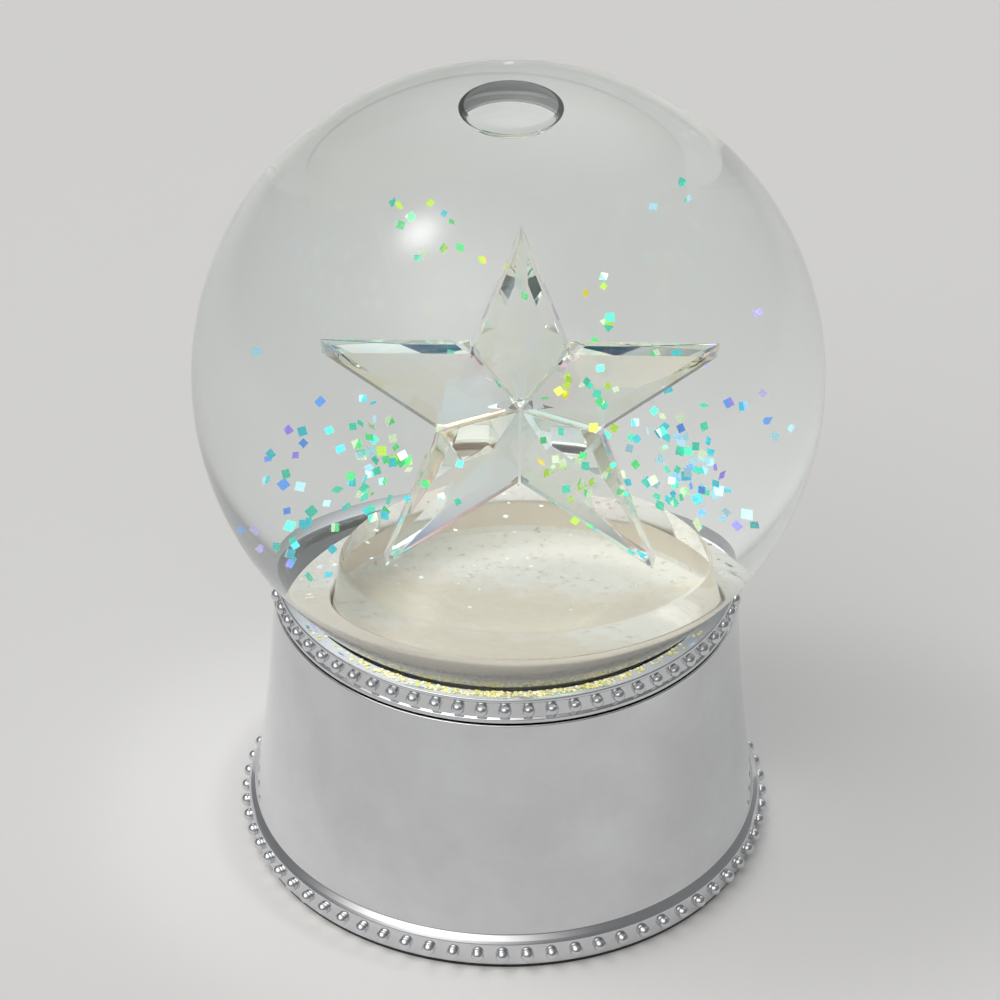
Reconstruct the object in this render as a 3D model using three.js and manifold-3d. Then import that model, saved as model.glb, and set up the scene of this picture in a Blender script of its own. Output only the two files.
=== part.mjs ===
// Musical water globe with a faceted crystal star on a round clear plinth.
// Millimetres, +Z up. The origin is the centre of the face that it rests on, and the star faces -Y.

import * as THREE from 'three';
import { mergeVertices } from 'three/addons/utils/BufferGeometryUtils.js';
import Module from 'manifold-3d';

const wasm = await Module();
wasm.setup();

// ---------------------------------------------------------------- driving dimensions

const GAP = 0.3; // left between pieces that touch
const ROUND = 40; // sides of the base, which everyone sees
const INNER_ROUND = 28; // sides of the globe and of large round pieces inside
const SHAFT_ROUND = 24; // sides of a shaft that turns, and of its bearing
const SMALL_ROUND = 8; // sides of a screw or a thin shaft

// glass globe
const GLOBE_RADIUS = 50;
const GLOBE_CENTRE_Z = 85.9;
const GLASS_WALL = 2;
const GLOBE_RINGS_ABOVE = 7; // rows of facets from the top of the globe to its middle
const GLOBE_RINGS_BELOW = 4;
const NECK_OUTER_RADIUS = 31;
const NECK_INNER_RADIUS = 29;
const NECK_BOTTOM_Z = 42;
const BUBBLE_RADIUS = 8.2;
const BUBBLE_DEPTH = 3.4;
const BUBBLE_SIDES = 16;

// what stands inside the globe, glued a little to the right of its centre
const FIGURE_X = 2;
const SNOW_RADIUS = 24.3;
const SNOW_TOP_Z = 56.6;
const SNOW_BOTTOM_Z = 47.1;
const SNOW_RECESS_RADIUS = 20.5;
const SNOW_RECESS_Z = 51.5;
const SNOW_EDGE = 0.5;
const PLINTH_RADIUS = 20.2;
const PLINTH_TOP_Z = 60.8;
const PLINTH_EDGE = 0.4;
const STAR_X = 1.4;
const STAR_CENTRE_Z = 82;
const STAR_RADIUS = 25.8;
const STAR_NOTCH_RADIUS = 9.9;
const STAR_THICKNESS = 8;
const STAR_GIRDLE = 3;
const STAR_BEVEL = 3.2;
const STAR_ARMS = 5;

// stopper and the seat of the globe
const STOPPER_BOTTOM_Z = 39.8;
const STOPPER_FLANGE_TOP_Z = 41.7;
const STOPPER_TOP_Z = 46.8;
const SEAT_OUTER_RADIUS = 34.3;
const NECK_CLEARANCE = 0.4;
const GASKET_OUTER_TOP_Z = 48.9;
const GASKET_INNER_TOP_Z = 46.5;
const CRADLE_INNER_RADIUS = 26;
const CRADLE_FOOT_RADIUS = 32;
const CRADLE_FOOT_HEIGHT = 2;
const CRADLE_LIP_HEIGHT = 2.8;
const DECK_BOTTOM_Z = 34.2;
const DECK_THICKNESS = 2;
const DECK_RADIUS = 36.6;
const LEDGE_INNER_RADIUS = 32.4;
const LEDGE_THICKNESS = 1.6;

// base shell, a gently flared sleeve with a beaded band at its foot and a beaded collar on top
const WALL = 1.8;
const SHELL_BOTTOM_Z = 0.7;
const FOOT_BAND_RADIUS = 43.2;
const FOOT_BAND_TOP_Z = 4.9;
const FOOT_SHOULDER = 0.9; // radius of the round above the band
const FOOT_MOUTH_RADIUS = 39.5;
const FOOT_BEADS = 68;
const FOOT_BEAD_RING_RADIUS = 43.5;
const FOOT_BEAD_Z = 3;
const SLEEVE_FOOT_RADIUS = 41.9;
const SLEEVE_TOP_RADIUS = 38.1;
const SLEEVE_FOOT_Z = 6;
const SLEEVE_TOP_Z = 45.3;
const SLEEVE_FLARE_POWER = 1.5;
const SPIGOT_LENGTH = 2.6;
const COLLAR_BOTTOM_Z = 45.6;
const COLLAR_TOP_Z = 50.2;
const COLLAR_BAND_RADIUS = 37.5;
const COLLAR_LIP_RADIUS = 37.9;
const COLLAR_LIP_HEIGHT = 0.6;
const COLLAR_LIP_TAPER = 0.3;
const COLLAR_BORE_RADIUS = 35.3;
const COLLAR_BORE_HEIGHT = 0.8;
const COLLAR_BEADS = 64;
const COLLAR_BEAD_RING_RADIUS = 37.7;
const COLLAR_BEAD_Z = 48;
const BEAD_RADIUS = 1.15;
const FELT_THICKNESS = 0.5;
const FELT_MARGIN = 0.4; // from the edges of the foot

// bottom cover
const COVER_BOTTOM_Z = 7.4;
const COVER_THICKNESS = 1.6;
const COVER_RADIUS = 38.8;
const KEY_HOLE_RADIUS = 4.5;
const BOSS_RING_RADIUS = 36.2;
const BOSS_RADIUS = 3.6;
const BOSS_TOP_Z = 16;
const BOSS_HOLE_DEPTH = 5;

// musical movement
const BED_Z = 9.3;
const BED_THICKNESS = 1.8;
const BED_TOP_Z = BED_Z + BED_THICKNESS;
const BED_OUTLINE = [
  [-24.5, -14.5], [-2, -14.5], [1, -25], [22.5, -25], [29, -18], [30, -12], [30, 17], [27, 20],
  [20, 20], [16, 14.5], [-24.5, 14.5], [-27.5, 11.5], [-27.5, -11.5],
];
const KEY_X = -14; // axis of the key, the mainspring and the great wheel
const BARREL_RADIUS = 12.5;
const BARREL_TOP_Z = 19.2;
const ARBOR_RADIUS = 2;
const RUNNING_FIT = 0.1;
const BARREL_WALL = 0.9;
const BARREL_ROUND = 0.6;
const ARBOR_BOTTOM_Z = 4.9;
const ARBOR_TOP_Z = 22.9;
const ARBOR_COLLAR_RADIUS = 2.9;
const SPRING_BOTTOM_Z = BED_TOP_Z + 1;
const SPRING_TOP_Z = BARREL_TOP_Z - 1.3;
const SPRING_TURNS = 4;
const SPRING_STRIP = 0.35;

// gears, by their teeth and the radii of their roots and tips
const TOOTH_ROOT_SHARE = 0.56; // of the pitch
const TOOTH_TIP_SHARE = 0.24;
const GREAT_WHEEL = { teeth: 24, pitch: 11, width: 1.2 };
const GREAT_WHEEL_Z = 19.8;
const CROWN_TOOTH_HEIGHT = 1.6;
const CROWN_TOOTH_LENGTH = 2.4;
const DRIVE_PINION = { teeth: 8, root: 1.95, tip: 4.15, width: 2.6 };
const CYLINDER_WHEEL = { teeth: 24, pitch: 6, root: 5.45, tip: 6.35, width: 1.5 };
const TRAIN_PINION = { teeth: 8, root: 1, tip: 2, width: 1.5 };
const WORM_WHEEL = { teeth: 16, pitch: 4, root: 3.4, tip: 4.35, width: 1.4 };

// the pinned cylinder and its axle, which lies along X over Y = 0
const AXLE_Z = 25.5;
const AXLE_RADIUS = 1;
const AXLE_START_X = -4.7;
const AXLE_END_X = 26.6;
const DRIVE_PINION_X = -4.3;
const CYLINDER_WHEEL_X = 22.3;
const DRUM_RADIUS = 6.2;
const DRUM_START_X = 1.5;
const DRUM_END_X = 20.5;
const DRUM_MARGIN = 0.4; // from each end of the drum to the first and last rows of pins
const PIN_HEIGHT = 0.8;
const PIN_WIDTH = 0.4;
const PIN_STEPS = 41; // pins stand at steps of a turn that don't line up with each other
const PIN_STRIDE = 7;
const POST_TOP_Z = AXLE_Z + 3;
const AXLE_POSTS = [[-0.8, 0.7, -3.5, 3.5], [24.4, 26, -3, 2.2]]; // x0, x1, y0, y1

// tone comb
const COMB_TEETH = 18;
const COMB_PITCH = (DRUM_END_X - DRUM_START_X - 2 * DRUM_MARGIN) / COMB_TEETH;
const COMB_START_X = DRUM_START_X + DRUM_MARGIN;
const COMB_TIP_Y = -7.3;
const COMB_ROOT_Y = -18.5;
const COMB_BACK_Y = -24.5;
const COMB_ROOT_STEP = 5; // the longest tooth's root lies this far behind the shortest one's
const COMB_THICKNESS = 1;
const COMB_SLIT = 0.3;
const COMB_BLOCK = [2, 21, COMB_BACK_Y, COMB_ROOT_Y + 0.5];

// governor: the cylinder wheel turns a pinion, and a worm wheel on its shaft turns a worm with a fan
const TRAIN_Y = CYLINDER_WHEEL.pitch * (1 + TRAIN_PINION.teeth / CYLINDER_WHEEL.teeth);
const TRAIN_SHAFT_RADIUS = 0.5;
const TRAIN_SHAFT_START_X = 20.9;
const TRAIN_SHAFT_END_X = 28.3;
const WORM_PITCH_RADIUS = 1.6;
const WORM_X = 25.3;
const WORM_Y = TRAIN_Y + WORM_WHEEL.pitch + WORM_PITCH_RADIUS;
const WORM_SHAFT_TOP_Z = 31.3;
const FAN_BOTTOM_Z = 14.4;
const FAN_TOP_Z = 19.6;
const FAN_HUB_RADIUS = 1.4;
const FAN_RADIUS = 3.7;
const FAN_VANE = 0.5;
const FRAME_FOOT = [20.7, 28.4, 5.6, 19.4];
const FRAME_FOOT_THICKNESS = 1.2;
const FRAME_CHEEKS = [[21, 21.9, 5.6, 9.2], [27, 28.2, 5.6, 9.2]];
const FRAME_CHEEK_TOP_Z = 28;
const FRAME_POST = [23.6, 27, 18, 19.4];
const FRAME_ARM = [23.6, 27, 11.6, 19.4];
const FRAME_ARM_THICKNESS = 1.2;
const FRAME_TOP_Z = 31.6;

// winding key, a low butterfly
const KEY_BOTTOM_Z = 1.2;
const KEY_WING_HEIGHT = 5.4;
const KEY_WING_RADIUS = 3.2;
const KEY_REACH = 9.2;
const KEY_PLATE = 1.8;
const KEY_HUB_RADIUS = 3.3;
const KEY_HUB_BOTTOM_Z = 2.4;
const KEY_HUB_TOP_Z = 7;
const KEY_BORE_Z = 4.6;

// screws
const SCREW_CLEARANCE = 0.3;
const SCREW_SLOT_WIDTH = 0.6;
const DECK_SCREW = { shank: 0.9, length: 4.2, head: 1.6, height: 1.1 };
const COVER_SCREW = { shank: 1.2, length: 6, head: 2.1, height: 1.2 };
const MOVEMENT_SCREW = { shank: 1.1, length: 5.4, head: 2, height: 1.1 };
const COMB_SCREW = { shank: 0.9, length: 5.6, head: 1.8, height: 1.2 };
const GOVERNOR_SCREW = { shank: 0.9, length: 3.2, head: 1.7, height: 1.1 };

// places of the screws, as [x, y]
const BOSS_SPOTS = atAngles(3, BOSS_RING_RADIUS, Math.PI / 3);
const DECK_SCREW_SPOTS = atAngles(3, (LEDGE_INNER_RADIUS + DECK_RADIUS) / 2, Math.PI / 2);
const MOVEMENT_SCREW_SPOTS = [[-23.8, 11.6], [-23.8, -11.6], [12, -13]];
const COMB_SCREW_SPOTS = [[6, -21.6], [17, -21.6]];
const GOVERNOR_SCREW_SPOTS = [[22.4, 16.6]];

// ---------------------------------------------------------------- materials

function finish(color, roughness, metalness, opacity = 1) {
  return () => new THREE.MeshStandardMaterial({
    color,
    roughness,
    metalness,
    opacity,
    transparent: opacity < 1,
  });
}

const clearGlass = finish(0xf4f8f8, 0.02, 0, 0.25);
const crystal = finish(0xeef6f2, 0.02, 0, 0.5);
const clearAcrylic = finish(0xf2f4f2, 0.05, 0, 0.4);
const water = finish(0xe8f2f4, 0.02, 0, 0.15);
const snowWhite = finish(0xece4d6, 0.85, 0);
const whiteRubber = finish(0xdcd8d0, 0.8, 0);
const chrome = finish(0xd4d6da, 0.08, 1);
const blackRubber = finish(0x1c1c1e, 0.85, 0);
const whitePlastic = finish(0xd8d6d0, 0.5, 0);
const blackFelt = finish(0x18181a, 0.95, 0);
const castZinc = finish(0x9a9b9e, 0.45, 1);
const steel = finish(0xb8babd, 0.3, 1);
const springSteel = finish(0x6d7076, 0.35, 1);
const brass = finish(0xc9a24e, 0.3, 1);

// ---------------------------------------------------------------- solids

// A closed geometry as a solid with its faces pointing out.
function solidOf(geometry) {
  const bare = new THREE.BufferGeometry();
  bare.setAttribute('position', geometry.getAttribute('position'));
  bare.setIndex(geometry.getIndex());
  const merged = mergeVertices(bare, 1e-4);
  const points = merged.getAttribute('position').array;
  const index = merged.getIndex().array;
  const triangles = [];
  let volume = 0;
  const corners = [new THREE.Vector3(), new THREE.Vector3(), new THREE.Vector3()];
  for (let i = 0; i < index.length; i += 3) {
    const [a, b, c] = [index[i], index[i + 1], index[i + 2]];
    if (a === b || b === c || c === a) continue;
    triangles.push([a, b, c]);
    [a, b, c].forEach((vertex, k) => corners[k].fromArray(points, vertex * 3));
    volume += corners[0].dot(corners[1].clone().cross(corners[2]));
  }
  const facesOut = volume > 0 ? triangles : triangles.map(([a, b, c]) => [a, c, b]);
  const mesh = new wasm.Mesh({
    numProp: 3,
    vertProperties: new Float32Array(points),
    triVerts: new Uint32Array(facesOut.flat()),
  });
  return new wasm.Manifold(mesh);
}

function geometryOf(solid) {
  const mesh = solid.getMesh();
  const geometry = new THREE.BufferGeometry();
  geometry.setAttribute('position', new THREE.BufferAttribute(mesh.vertProperties, 3));
  geometry.setIndex(new THREE.BufferAttribute(mesh.triVerts, 1));
  geometry.computeVertexNormals();
  return geometry;
}

// A profile of [radius, height] points turned about Z. It starts and ends on the axis or closes on itself.
function turned(profile, sides = INNER_ROUND) {
  const points = profile.map(([radius, z]) => new THREE.Vector2(radius, z));
  return solidOf(new THREE.LatheGeometry(points, sides).rotateX(Math.PI / 2));
}

function ring(innerRadius, outerRadius, bottom, top, sides = INNER_ROUND) {
  return turned([
    [innerRadius, bottom],
    [outerRadius, bottom],
    [outerRadius, top],
    [innerRadius, top],
    [innerRadius, bottom],
  ], sides);
}

function rod(radius, bottom, top, x = 0, y = 0, sides = SMALL_ROUND) {
  const geometry = new THREE.CylinderGeometry(radius, radius, top - bottom, sides);
  geometry.rotateX(Math.PI / 2);
  geometry.translate(x, y, (bottom + top) / 2);
  return solidOf(geometry);
}

function block(x0, x1, y0, y1, z0, z1) {
  const geometry = new THREE.BoxGeometry(x1 - x0, y1 - y0, z1 - z0);
  geometry.translate((x0 + x1) / 2, (y0 + y1) / 2, (z0 + z1) / 2);
  return solidOf(geometry);
}

// An outline of [x, y] points raised from bottom to top.
function prism(outline, bottom, top) {
  const shape = new THREE.Shape(outline.map(([x, y]) => new THREE.Vector2(x, y)));
  const geometry = new THREE.ExtrudeGeometry(shape, { depth: top - bottom, bevelEnabled: false });
  geometry.translate(0, 0, bottom);
  return solidOf(geometry);
}

function joined(solids) {
  return solids.reduce((whole, next) => whole.add(next));
}

function cutFrom(solid, cutters) {
  return cutters.reduce((rest, cutter) => rest.subtract(cutter), solid);
}

function polar(radius, angle) {
  return [radius * Math.cos(angle), radius * Math.sin(angle)];
}

// Points of a circle in the (radius, height) plane, from one angle above the horizontal to another.
function arc(radius, centreRadius, centreZ, fromAngle, toAngle, steps) {
  const points = [];
  for (let i = 0; i <= steps; i += 1) {
    const angle = fromAngle + ((toAngle - fromAngle) * i) / steps;
    const distance = centreRadius + radius * Math.cos(angle);
    points.push([distance < 1e-6 ? 0 : distance, centreZ + radius * Math.sin(angle)]);
  }
  return points;
}

const object = new THREE.Group();

function place(name, solid, material) {
  const mesh = new THREE.Mesh(geometryOf(solid), material());
  mesh.name = name;
  object.add(mesh);
  return mesh;
}

// ---------------------------------------------------------------- globe and its contents

// Half of the ball's outline, from its top down to where it meets the neck.
function ballOutline(radius, neckRadius) {
  const neckAngle = -Math.acos(neckRadius / radius);
  return [
    ...arc(radius, 0, GLOBE_CENTRE_Z, Math.PI / 2, 0, GLOBE_RINGS_ABOVE),
    ...arc(radius, 0, GLOBE_CENTRE_Z, 0, neckAngle, GLOBE_RINGS_BELOW).slice(1),
  ];
}

function glassGlobe() {
  const outside = ballOutline(GLOBE_RADIUS, NECK_OUTER_RADIUS);
  const inside = ballOutline(GLOBE_RADIUS - GLASS_WALL, NECK_INNER_RADIUS).reverse();
  return turned([
    ...outside,
    [NECK_OUTER_RADIUS, NECK_BOTTOM_Z],
    [NECK_INNER_RADIUS, NECK_BOTTOM_Z],
    ...inside,
  ]);
}

// One kite-shaped crystal of the star, in the XZ plane with its tip up and its inner corner at the origin.
function starArm(margin) {
  const half = Math.PI / STAR_ARMS;
  const kite = [
    [0, 0],
    [STAR_NOTCH_RADIUS * Math.sin(half), STAR_NOTCH_RADIUS * Math.cos(half)],
    [0, STAR_RADIUS],
    [-STAR_NOTCH_RADIUS * Math.sin(half), STAR_NOTCH_RADIUS * Math.cos(half)],
  ];
  const layers = [
    [-STAR_THICKNESS / 2 - margin, STAR_BEVEL - margin],
    [-STAR_GIRDLE / 2, -margin],
    [STAR_GIRDLE / 2, -margin],
    [STAR_THICKNESS / 2 + margin, STAR_BEVEL - margin],
  ];
  const points = layers.flatMap(([y, inset]) => insetOutline(kite, inset).map(([x, z]) => [x, y, z]));
  const faces = [[0, 1, 2], [0, 2, 3], [12, 14, 13], [12, 15, 14]];
  for (let layer = 0; layer < 3; layer += 1) {
    for (let i = 0; i < 4; i += 1) {
      const a = layer * 4 + i;
      const b = layer * 4 + ((i + 1) % 4);
      faces.push([a, a + 4, b + 4], [a, b + 4, b]);
    }
  }
  const geometry = new THREE.BufferGeometry();
  geometry.setAttribute('position', new THREE.Float32BufferAttribute(points.flat(), 3));
  geometry.setIndex(faces.flat());
  return solidOf(geometry);
}

// A convex outline moved inwards by the same distance along every edge.
function insetOutline(outline, inset) {
  const count = outline.length;
  const points = outline.map(([x, y]) => new THREE.Vector2(x, y));
  const middle = points.reduce((sum, p) => sum.add(p), new THREE.Vector2()).divideScalar(count);
  const edges = points.map((start, i) => {
    const along = points[(i + 1) % count].clone().sub(start).normalize();
    const normal = new THREE.Vector2(-along.y, along.x);
    if (middle.clone().sub(start).dot(normal) < 0) normal.negate();
    return { along, start: start.clone().addScaledVector(normal, inset) };
  });
  return edges.map((edge, i) => {
    const before = edges[(i + count - 1) % count];
    const between = edge.start.clone().sub(before.start);
    const distance = between.cross(edge.along) / before.along.cross(edge.along);
    const corner = before.start.clone().addScaledVector(before.along, distance);
    return [corner.x, corner.y];
  });
}

function armAngle(index) {
  return (index * 2 * Math.PI) / STAR_ARMS;
}

function starEnvelope(margin) {
  const arms = [];
  for (let i = 0; i < STAR_ARMS; i += 1) {
    const geometry = geometryOf(starArm(margin));
    geometry.rotateY(armAngle(i));
    geometry.translate(STAR_X, 0, STAR_CENTRE_Z);
    arms.push(solidOf(geometry));
  }
  return joined(arms);
}

function plinth(margin) {
  const radius = PLINTH_RADIUS + margin;
  const bottom = SNOW_RECESS_Z + GAP - margin;
  return turned([
    [0, bottom],
    [radius, bottom],
    [radius, PLINTH_TOP_Z - PLINTH_EDGE + margin],
    [radius - PLINTH_EDGE, PLINTH_TOP_Z + margin],
    [0, PLINTH_TOP_Z + margin],
  ]);
}

function snowBed() {
  return turned([
    [0, SNOW_BOTTOM_Z],
    [SNOW_RADIUS, SNOW_BOTTOM_Z],
    [SNOW_RADIUS, SNOW_TOP_Z - SNOW_EDGE],
    [SNOW_RADIUS - SNOW_EDGE, SNOW_TOP_Z],
    [SNOW_RECESS_RADIUS, SNOW_TOP_Z],
    [SNOW_RECESS_RADIUS, SNOW_RECESS_Z],
    [0, SNOW_RECESS_Z],
  ]);
}

// The liquid fills the globe around the bed, the plinth and the star, and stops under the air bubble.
function liquid() {
  const radius = GLOBE_RADIUS - GLASS_WALL - GAP;
  const ball = turned([
    ...ballOutline(radius, NECK_INNER_RADIUS - GAP),
    [NECK_INNER_RADIUS - GAP, SNOW_BOTTOM_Z],
    [0, SNOW_BOTTOM_Z],
  ]);
  const bubble = new THREE.SphereGeometry(BUBBLE_RADIUS, BUBBLE_SIDES, BUBBLE_SIDES / 2);
  bubble.rotateX(Math.PI / 2);
  bubble.scale(1, 1, (2 * BUBBLE_DEPTH) / BUBBLE_RADIUS);
  bubble.translate(0, 0, GLOBE_CENTRE_Z + radius + BUBBLE_DEPTH);
  const bedSpace = rod(SNOW_RADIUS + GAP, SNOW_BOTTOM_Z - GAP, SNOW_TOP_Z + GAP, FIGURE_X, 0, INNER_ROUND);
  const plinthSpace = plinth(GAP).translate(FIGURE_X, 0, 0);
  return cutFrom(ball, [solidOf(bubble), bedSpace, plinthSpace, starEnvelope(GAP)]);
}

function addGlobe() {
  place('glass_globe', glassGlobe(), clearGlass);
  place('globe_liquid', liquid(), water);
  place('snow_bed', snowBed(), snowWhite).position.x = FIGURE_X;
  place('star_plinth', plinth(0), clearAcrylic).position.x = FIGURE_X;
  for (let i = 0; i < STAR_ARMS; i += 1) {
    const arm = place(`star_arm_${i + 1}`, starArm(-GAP / 2), crystal);
    arm.position.set(STAR_X, 0, STAR_CENTRE_Z);
    arm.rotation.y = armAngle(i);
  }
  const plug = NECK_INNER_RADIUS - GAP;
  const flange = NECK_OUTER_RADIUS - GAP;
  place('rubber_stopper', turned([
    [0, STOPPER_BOTTOM_Z],
    [flange, STOPPER_BOTTOM_Z],
    [flange, STOPPER_FLANGE_TOP_Z],
    [plug, STOPPER_FLANGE_TOP_Z],
    [plug, STOPPER_TOP_Z],
    [0, STOPPER_TOP_Z],
  ]), whiteRubber);
}

// ---------------------------------------------------------------- base

// Outside radius of the sleeve: nearly straight, and flaring a little more towards its foot.
function sleeveRadius(z) {
  const share = (SLEEVE_TOP_Z - z) / (SLEEVE_TOP_Z - SLEEVE_FOOT_Z);
  return SLEEVE_TOP_RADIUS + (SLEEVE_FOOT_RADIUS - SLEEVE_TOP_RADIUS) * share ** SLEEVE_FLARE_POWER;
}

function sleeveLine(fromZ, toZ, steps, inset) {
  const points = [];
  for (let i = 0; i <= steps; i += 1) {
    const z = fromZ + ((toZ - fromZ) * i) / steps;
    points.push([sleeveRadius(z) - inset, z]);
  }
  return points;
}

function beadRow(count, ringRadius, z) {
  const beads = [];
  for (let i = 0; i < count; i += 1) {
    const angle = (2 * Math.PI * i) / count;
    const bead = new THREE.OctahedronGeometry(BEAD_RADIUS);
    bead.rotateZ(angle);
    bead.translate(...polar(ringRadius, angle), z);
    beads.push(solidOf(bead));
  }
  return beads;
}

function atAngles(count, radius, firstAngle) {
  const spots = [];
  for (let i = 0; i < count; i += 1) {
    spots.push(polar(radius, firstAngle + (2 * Math.PI * i) / count));
  }
  return spots;
}

// Clearance holes for screws of one size.
function holes(spots, size, bottom, top) {
  return spots.map(([x, y]) => rod(size.shank + SCREW_CLEARANCE, bottom, top, x, y));
}

function baseShell() {
  const ledgeTop = DECK_BOTTOM_Z - GAP;
  const ledgeBottom = ledgeTop - LEDGE_THICKNESS;
  const footFlangeTop = SHELL_BOTTOM_Z + WALL;
  const shoulderRadius = FOOT_BAND_RADIUS - FOOT_SHOULDER;
  const sleeve = turned([
    [FOOT_MOUTH_RADIUS, SHELL_BOTTOM_Z],
    [FOOT_BAND_RADIUS, SHELL_BOTTOM_Z],
    ...arc(FOOT_SHOULDER, shoulderRadius, FOOT_BAND_TOP_Z, 0, Math.PI / 2, 2),
    ...sleeveLine(SLEEVE_FOOT_Z, SLEEVE_TOP_Z, 4, 0),
    ...sleeveLine(SLEEVE_TOP_Z, ledgeTop, 1, WALL),
    [LEDGE_INNER_RADIUS, ledgeTop],
    [LEDGE_INNER_RADIUS, ledgeBottom],
    ...sleeveLine(ledgeBottom, SLEEVE_FOOT_Z + WALL, 2, WALL),
    [FOOT_BAND_RADIUS - WALL, FOOT_BAND_TOP_Z],
    [FOOT_BAND_RADIUS - WALL, footFlangeTop],
    [FOOT_MOUTH_RADIUS, footFlangeTop],
    [FOOT_MOUTH_RADIUS, SHELL_BOTTOM_Z],
  ], ROUND);
  const beads = beadRow(FOOT_BEADS, FOOT_BEAD_RING_RADIUS, FOOT_BEAD_Z);
  const bossBottom = COVER_BOTTOM_Z + COVER_THICKNESS + GAP;
  const bosses = BOSS_SPOTS.map(([x, y]) => rod(BOSS_RADIUS, bossBottom, BOSS_TOP_Z, x, y));
  return cutFrom(joined([sleeve, ...bosses, ...beads]), [
    ...holes(BOSS_SPOTS, COVER_SCREW, bossBottom - 1, bossBottom + BOSS_HOLE_DEPTH),
    ...holes(DECK_SCREW_SPOTS, DECK_SCREW, ledgeBottom - 1, ledgeTop + 1),
  ]);
}

function topCollar() {
  const spigotBottom = SLEEVE_TOP_Z - SPIGOT_LENGTH;
  const spigotOuter = SLEEVE_TOP_RADIUS - WALL - GAP;
  const lipEdge = COLLAR_LIP_HEIGHT + COLLAR_LIP_TAPER;
  const band = turned([
    [SEAT_OUTER_RADIUS + GAP, spigotBottom],
    [spigotOuter, spigotBottom],
    [spigotOuter, COLLAR_BOTTOM_Z],
    [COLLAR_LIP_RADIUS, COLLAR_BOTTOM_Z],
    [COLLAR_LIP_RADIUS, COLLAR_BOTTOM_Z + COLLAR_LIP_HEIGHT],
    [COLLAR_BAND_RADIUS, COLLAR_BOTTOM_Z + lipEdge],
    [COLLAR_BAND_RADIUS, COLLAR_TOP_Z - lipEdge],
    [COLLAR_LIP_RADIUS, COLLAR_TOP_Z - COLLAR_LIP_HEIGHT],
    [COLLAR_LIP_RADIUS - COLLAR_LIP_TAPER, COLLAR_TOP_Z],
    [COLLAR_BORE_RADIUS, COLLAR_TOP_Z],
    [COLLAR_BORE_RADIUS, COLLAR_TOP_Z - COLLAR_BORE_HEIGHT],
    [SEAT_OUTER_RADIUS + GAP, COLLAR_TOP_Z - 2 * COLLAR_BORE_HEIGHT],
    [SEAT_OUTER_RADIUS + GAP, spigotBottom],
  ], ROUND);
  return joined([band, ...beadRow(COLLAR_BEADS, COLLAR_BEAD_RING_RADIUS, COLLAR_BEAD_Z)]);
}

// A slotted pan-head screw: its head hangs below the origin, and its shank points up.
function screw(size) {
  const head = rod(size.head, -size.height, 0);
  const shank = rod(size.shank, -size.height / 2, size.length);
  const halfSlot = SCREW_SLOT_WIDTH / 2;
  const slot = block(-size.head, size.head, -halfSlot, halfSlot, -size.height - 1, -size.height / 2);
  return head.add(shank).subtract(slot);
}

function addScrews(names, spots, z, size, pointsUp) {
  spots.forEach((spot, i) => {
    const mesh = place(names[i], screw(size), steel);
    mesh.position.set(...spot, z);
    mesh.rotation.x = pointsUp ? 0 : Math.PI;
  });
}

function numbered(name, count) {
  return Array.from({ length: count }, (_, i) => `${name}_${i + 1}`);
}

function addBase() {
  place('base_shell', baseShell(), chrome);
  place('top_collar', topCollar(), chrome);
  const feltInner = FOOT_MOUTH_RADIUS + FELT_MARGIN;
  place('felt_ring', ring(feltInner, FOOT_BAND_RADIUS - FELT_MARGIN, 0, FELT_THICKNESS, ROUND), blackFelt);

  const deckTop = DECK_BOTTOM_Z + DECK_THICKNESS;
  const deck = rod(DECK_RADIUS, DECK_BOTTOM_Z, deckTop, 0, 0, INNER_ROUND);
  const deckHoles = holes(DECK_SCREW_SPOTS, DECK_SCREW, DECK_BOTTOM_Z - 1, deckTop + 1);
  place('deck_plate', cutFrom(deck, deckHoles), whitePlastic);
  addScrews(numbered('deck_screw', 3), DECK_SCREW_SPOTS, deckTop + GAP, DECK_SCREW, false);

  const cradleBottom = deckTop + GAP;
  const cradleFloor = STOPPER_BOTTOM_Z - GAP;
  const cradleTop = cradleFloor + CRADLE_LIP_HEIGHT;
  const neckBore = NECK_OUTER_RADIUS + NECK_CLEARANCE;
  place('globe_cradle', turned([
    [CRADLE_INNER_RADIUS, cradleBottom],
    [CRADLE_FOOT_RADIUS, cradleBottom],
    [CRADLE_FOOT_RADIUS, deckTop + CRADLE_FOOT_HEIGHT],
    [SEAT_OUTER_RADIUS, deckTop + CRADLE_FOOT_HEIGHT],
    [SEAT_OUTER_RADIUS, cradleTop],
    [neckBore, cradleTop],
    [neckBore, cradleFloor],
    [CRADLE_INNER_RADIUS, cradleFloor],
    [CRADLE_INNER_RADIUS, cradleBottom],
  ]), whitePlastic);
  place('seat_gasket', turned([
    [neckBore, cradleTop + GAP],
    [SEAT_OUTER_RADIUS, cradleTop + GAP],
    [SEAT_OUTER_RADIUS, GASKET_OUTER_TOP_Z],
    [neckBore, GASKET_INNER_TOP_Z],
    [neckBore, cradleTop + GAP],
  ]), blackRubber);

  const coverTop = COVER_BOTTOM_Z + COVER_THICKNESS;
  const cover = rod(COVER_RADIUS, COVER_BOTTOM_Z, coverTop, 0, 0, INNER_ROUND);
  const [below, above] = [COVER_BOTTOM_Z - 1, coverTop + 1];
  place('bottom_cover', cutFrom(cover, [
    rod(KEY_HOLE_RADIUS, below, above, KEY_X, 0, SHAFT_ROUND),
    ...holes(BOSS_SPOTS, COVER_SCREW, below, above),
    ...holes(MOVEMENT_SCREW_SPOTS, MOVEMENT_SCREW, below, above),
  ]), whitePlastic);
  addScrews(numbered('cover_screw', 3), BOSS_SPOTS, COVER_BOTTOM_Z - GAP, COVER_SCREW, true);
}

// ---------------------------------------------------------------- musical movement

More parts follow.
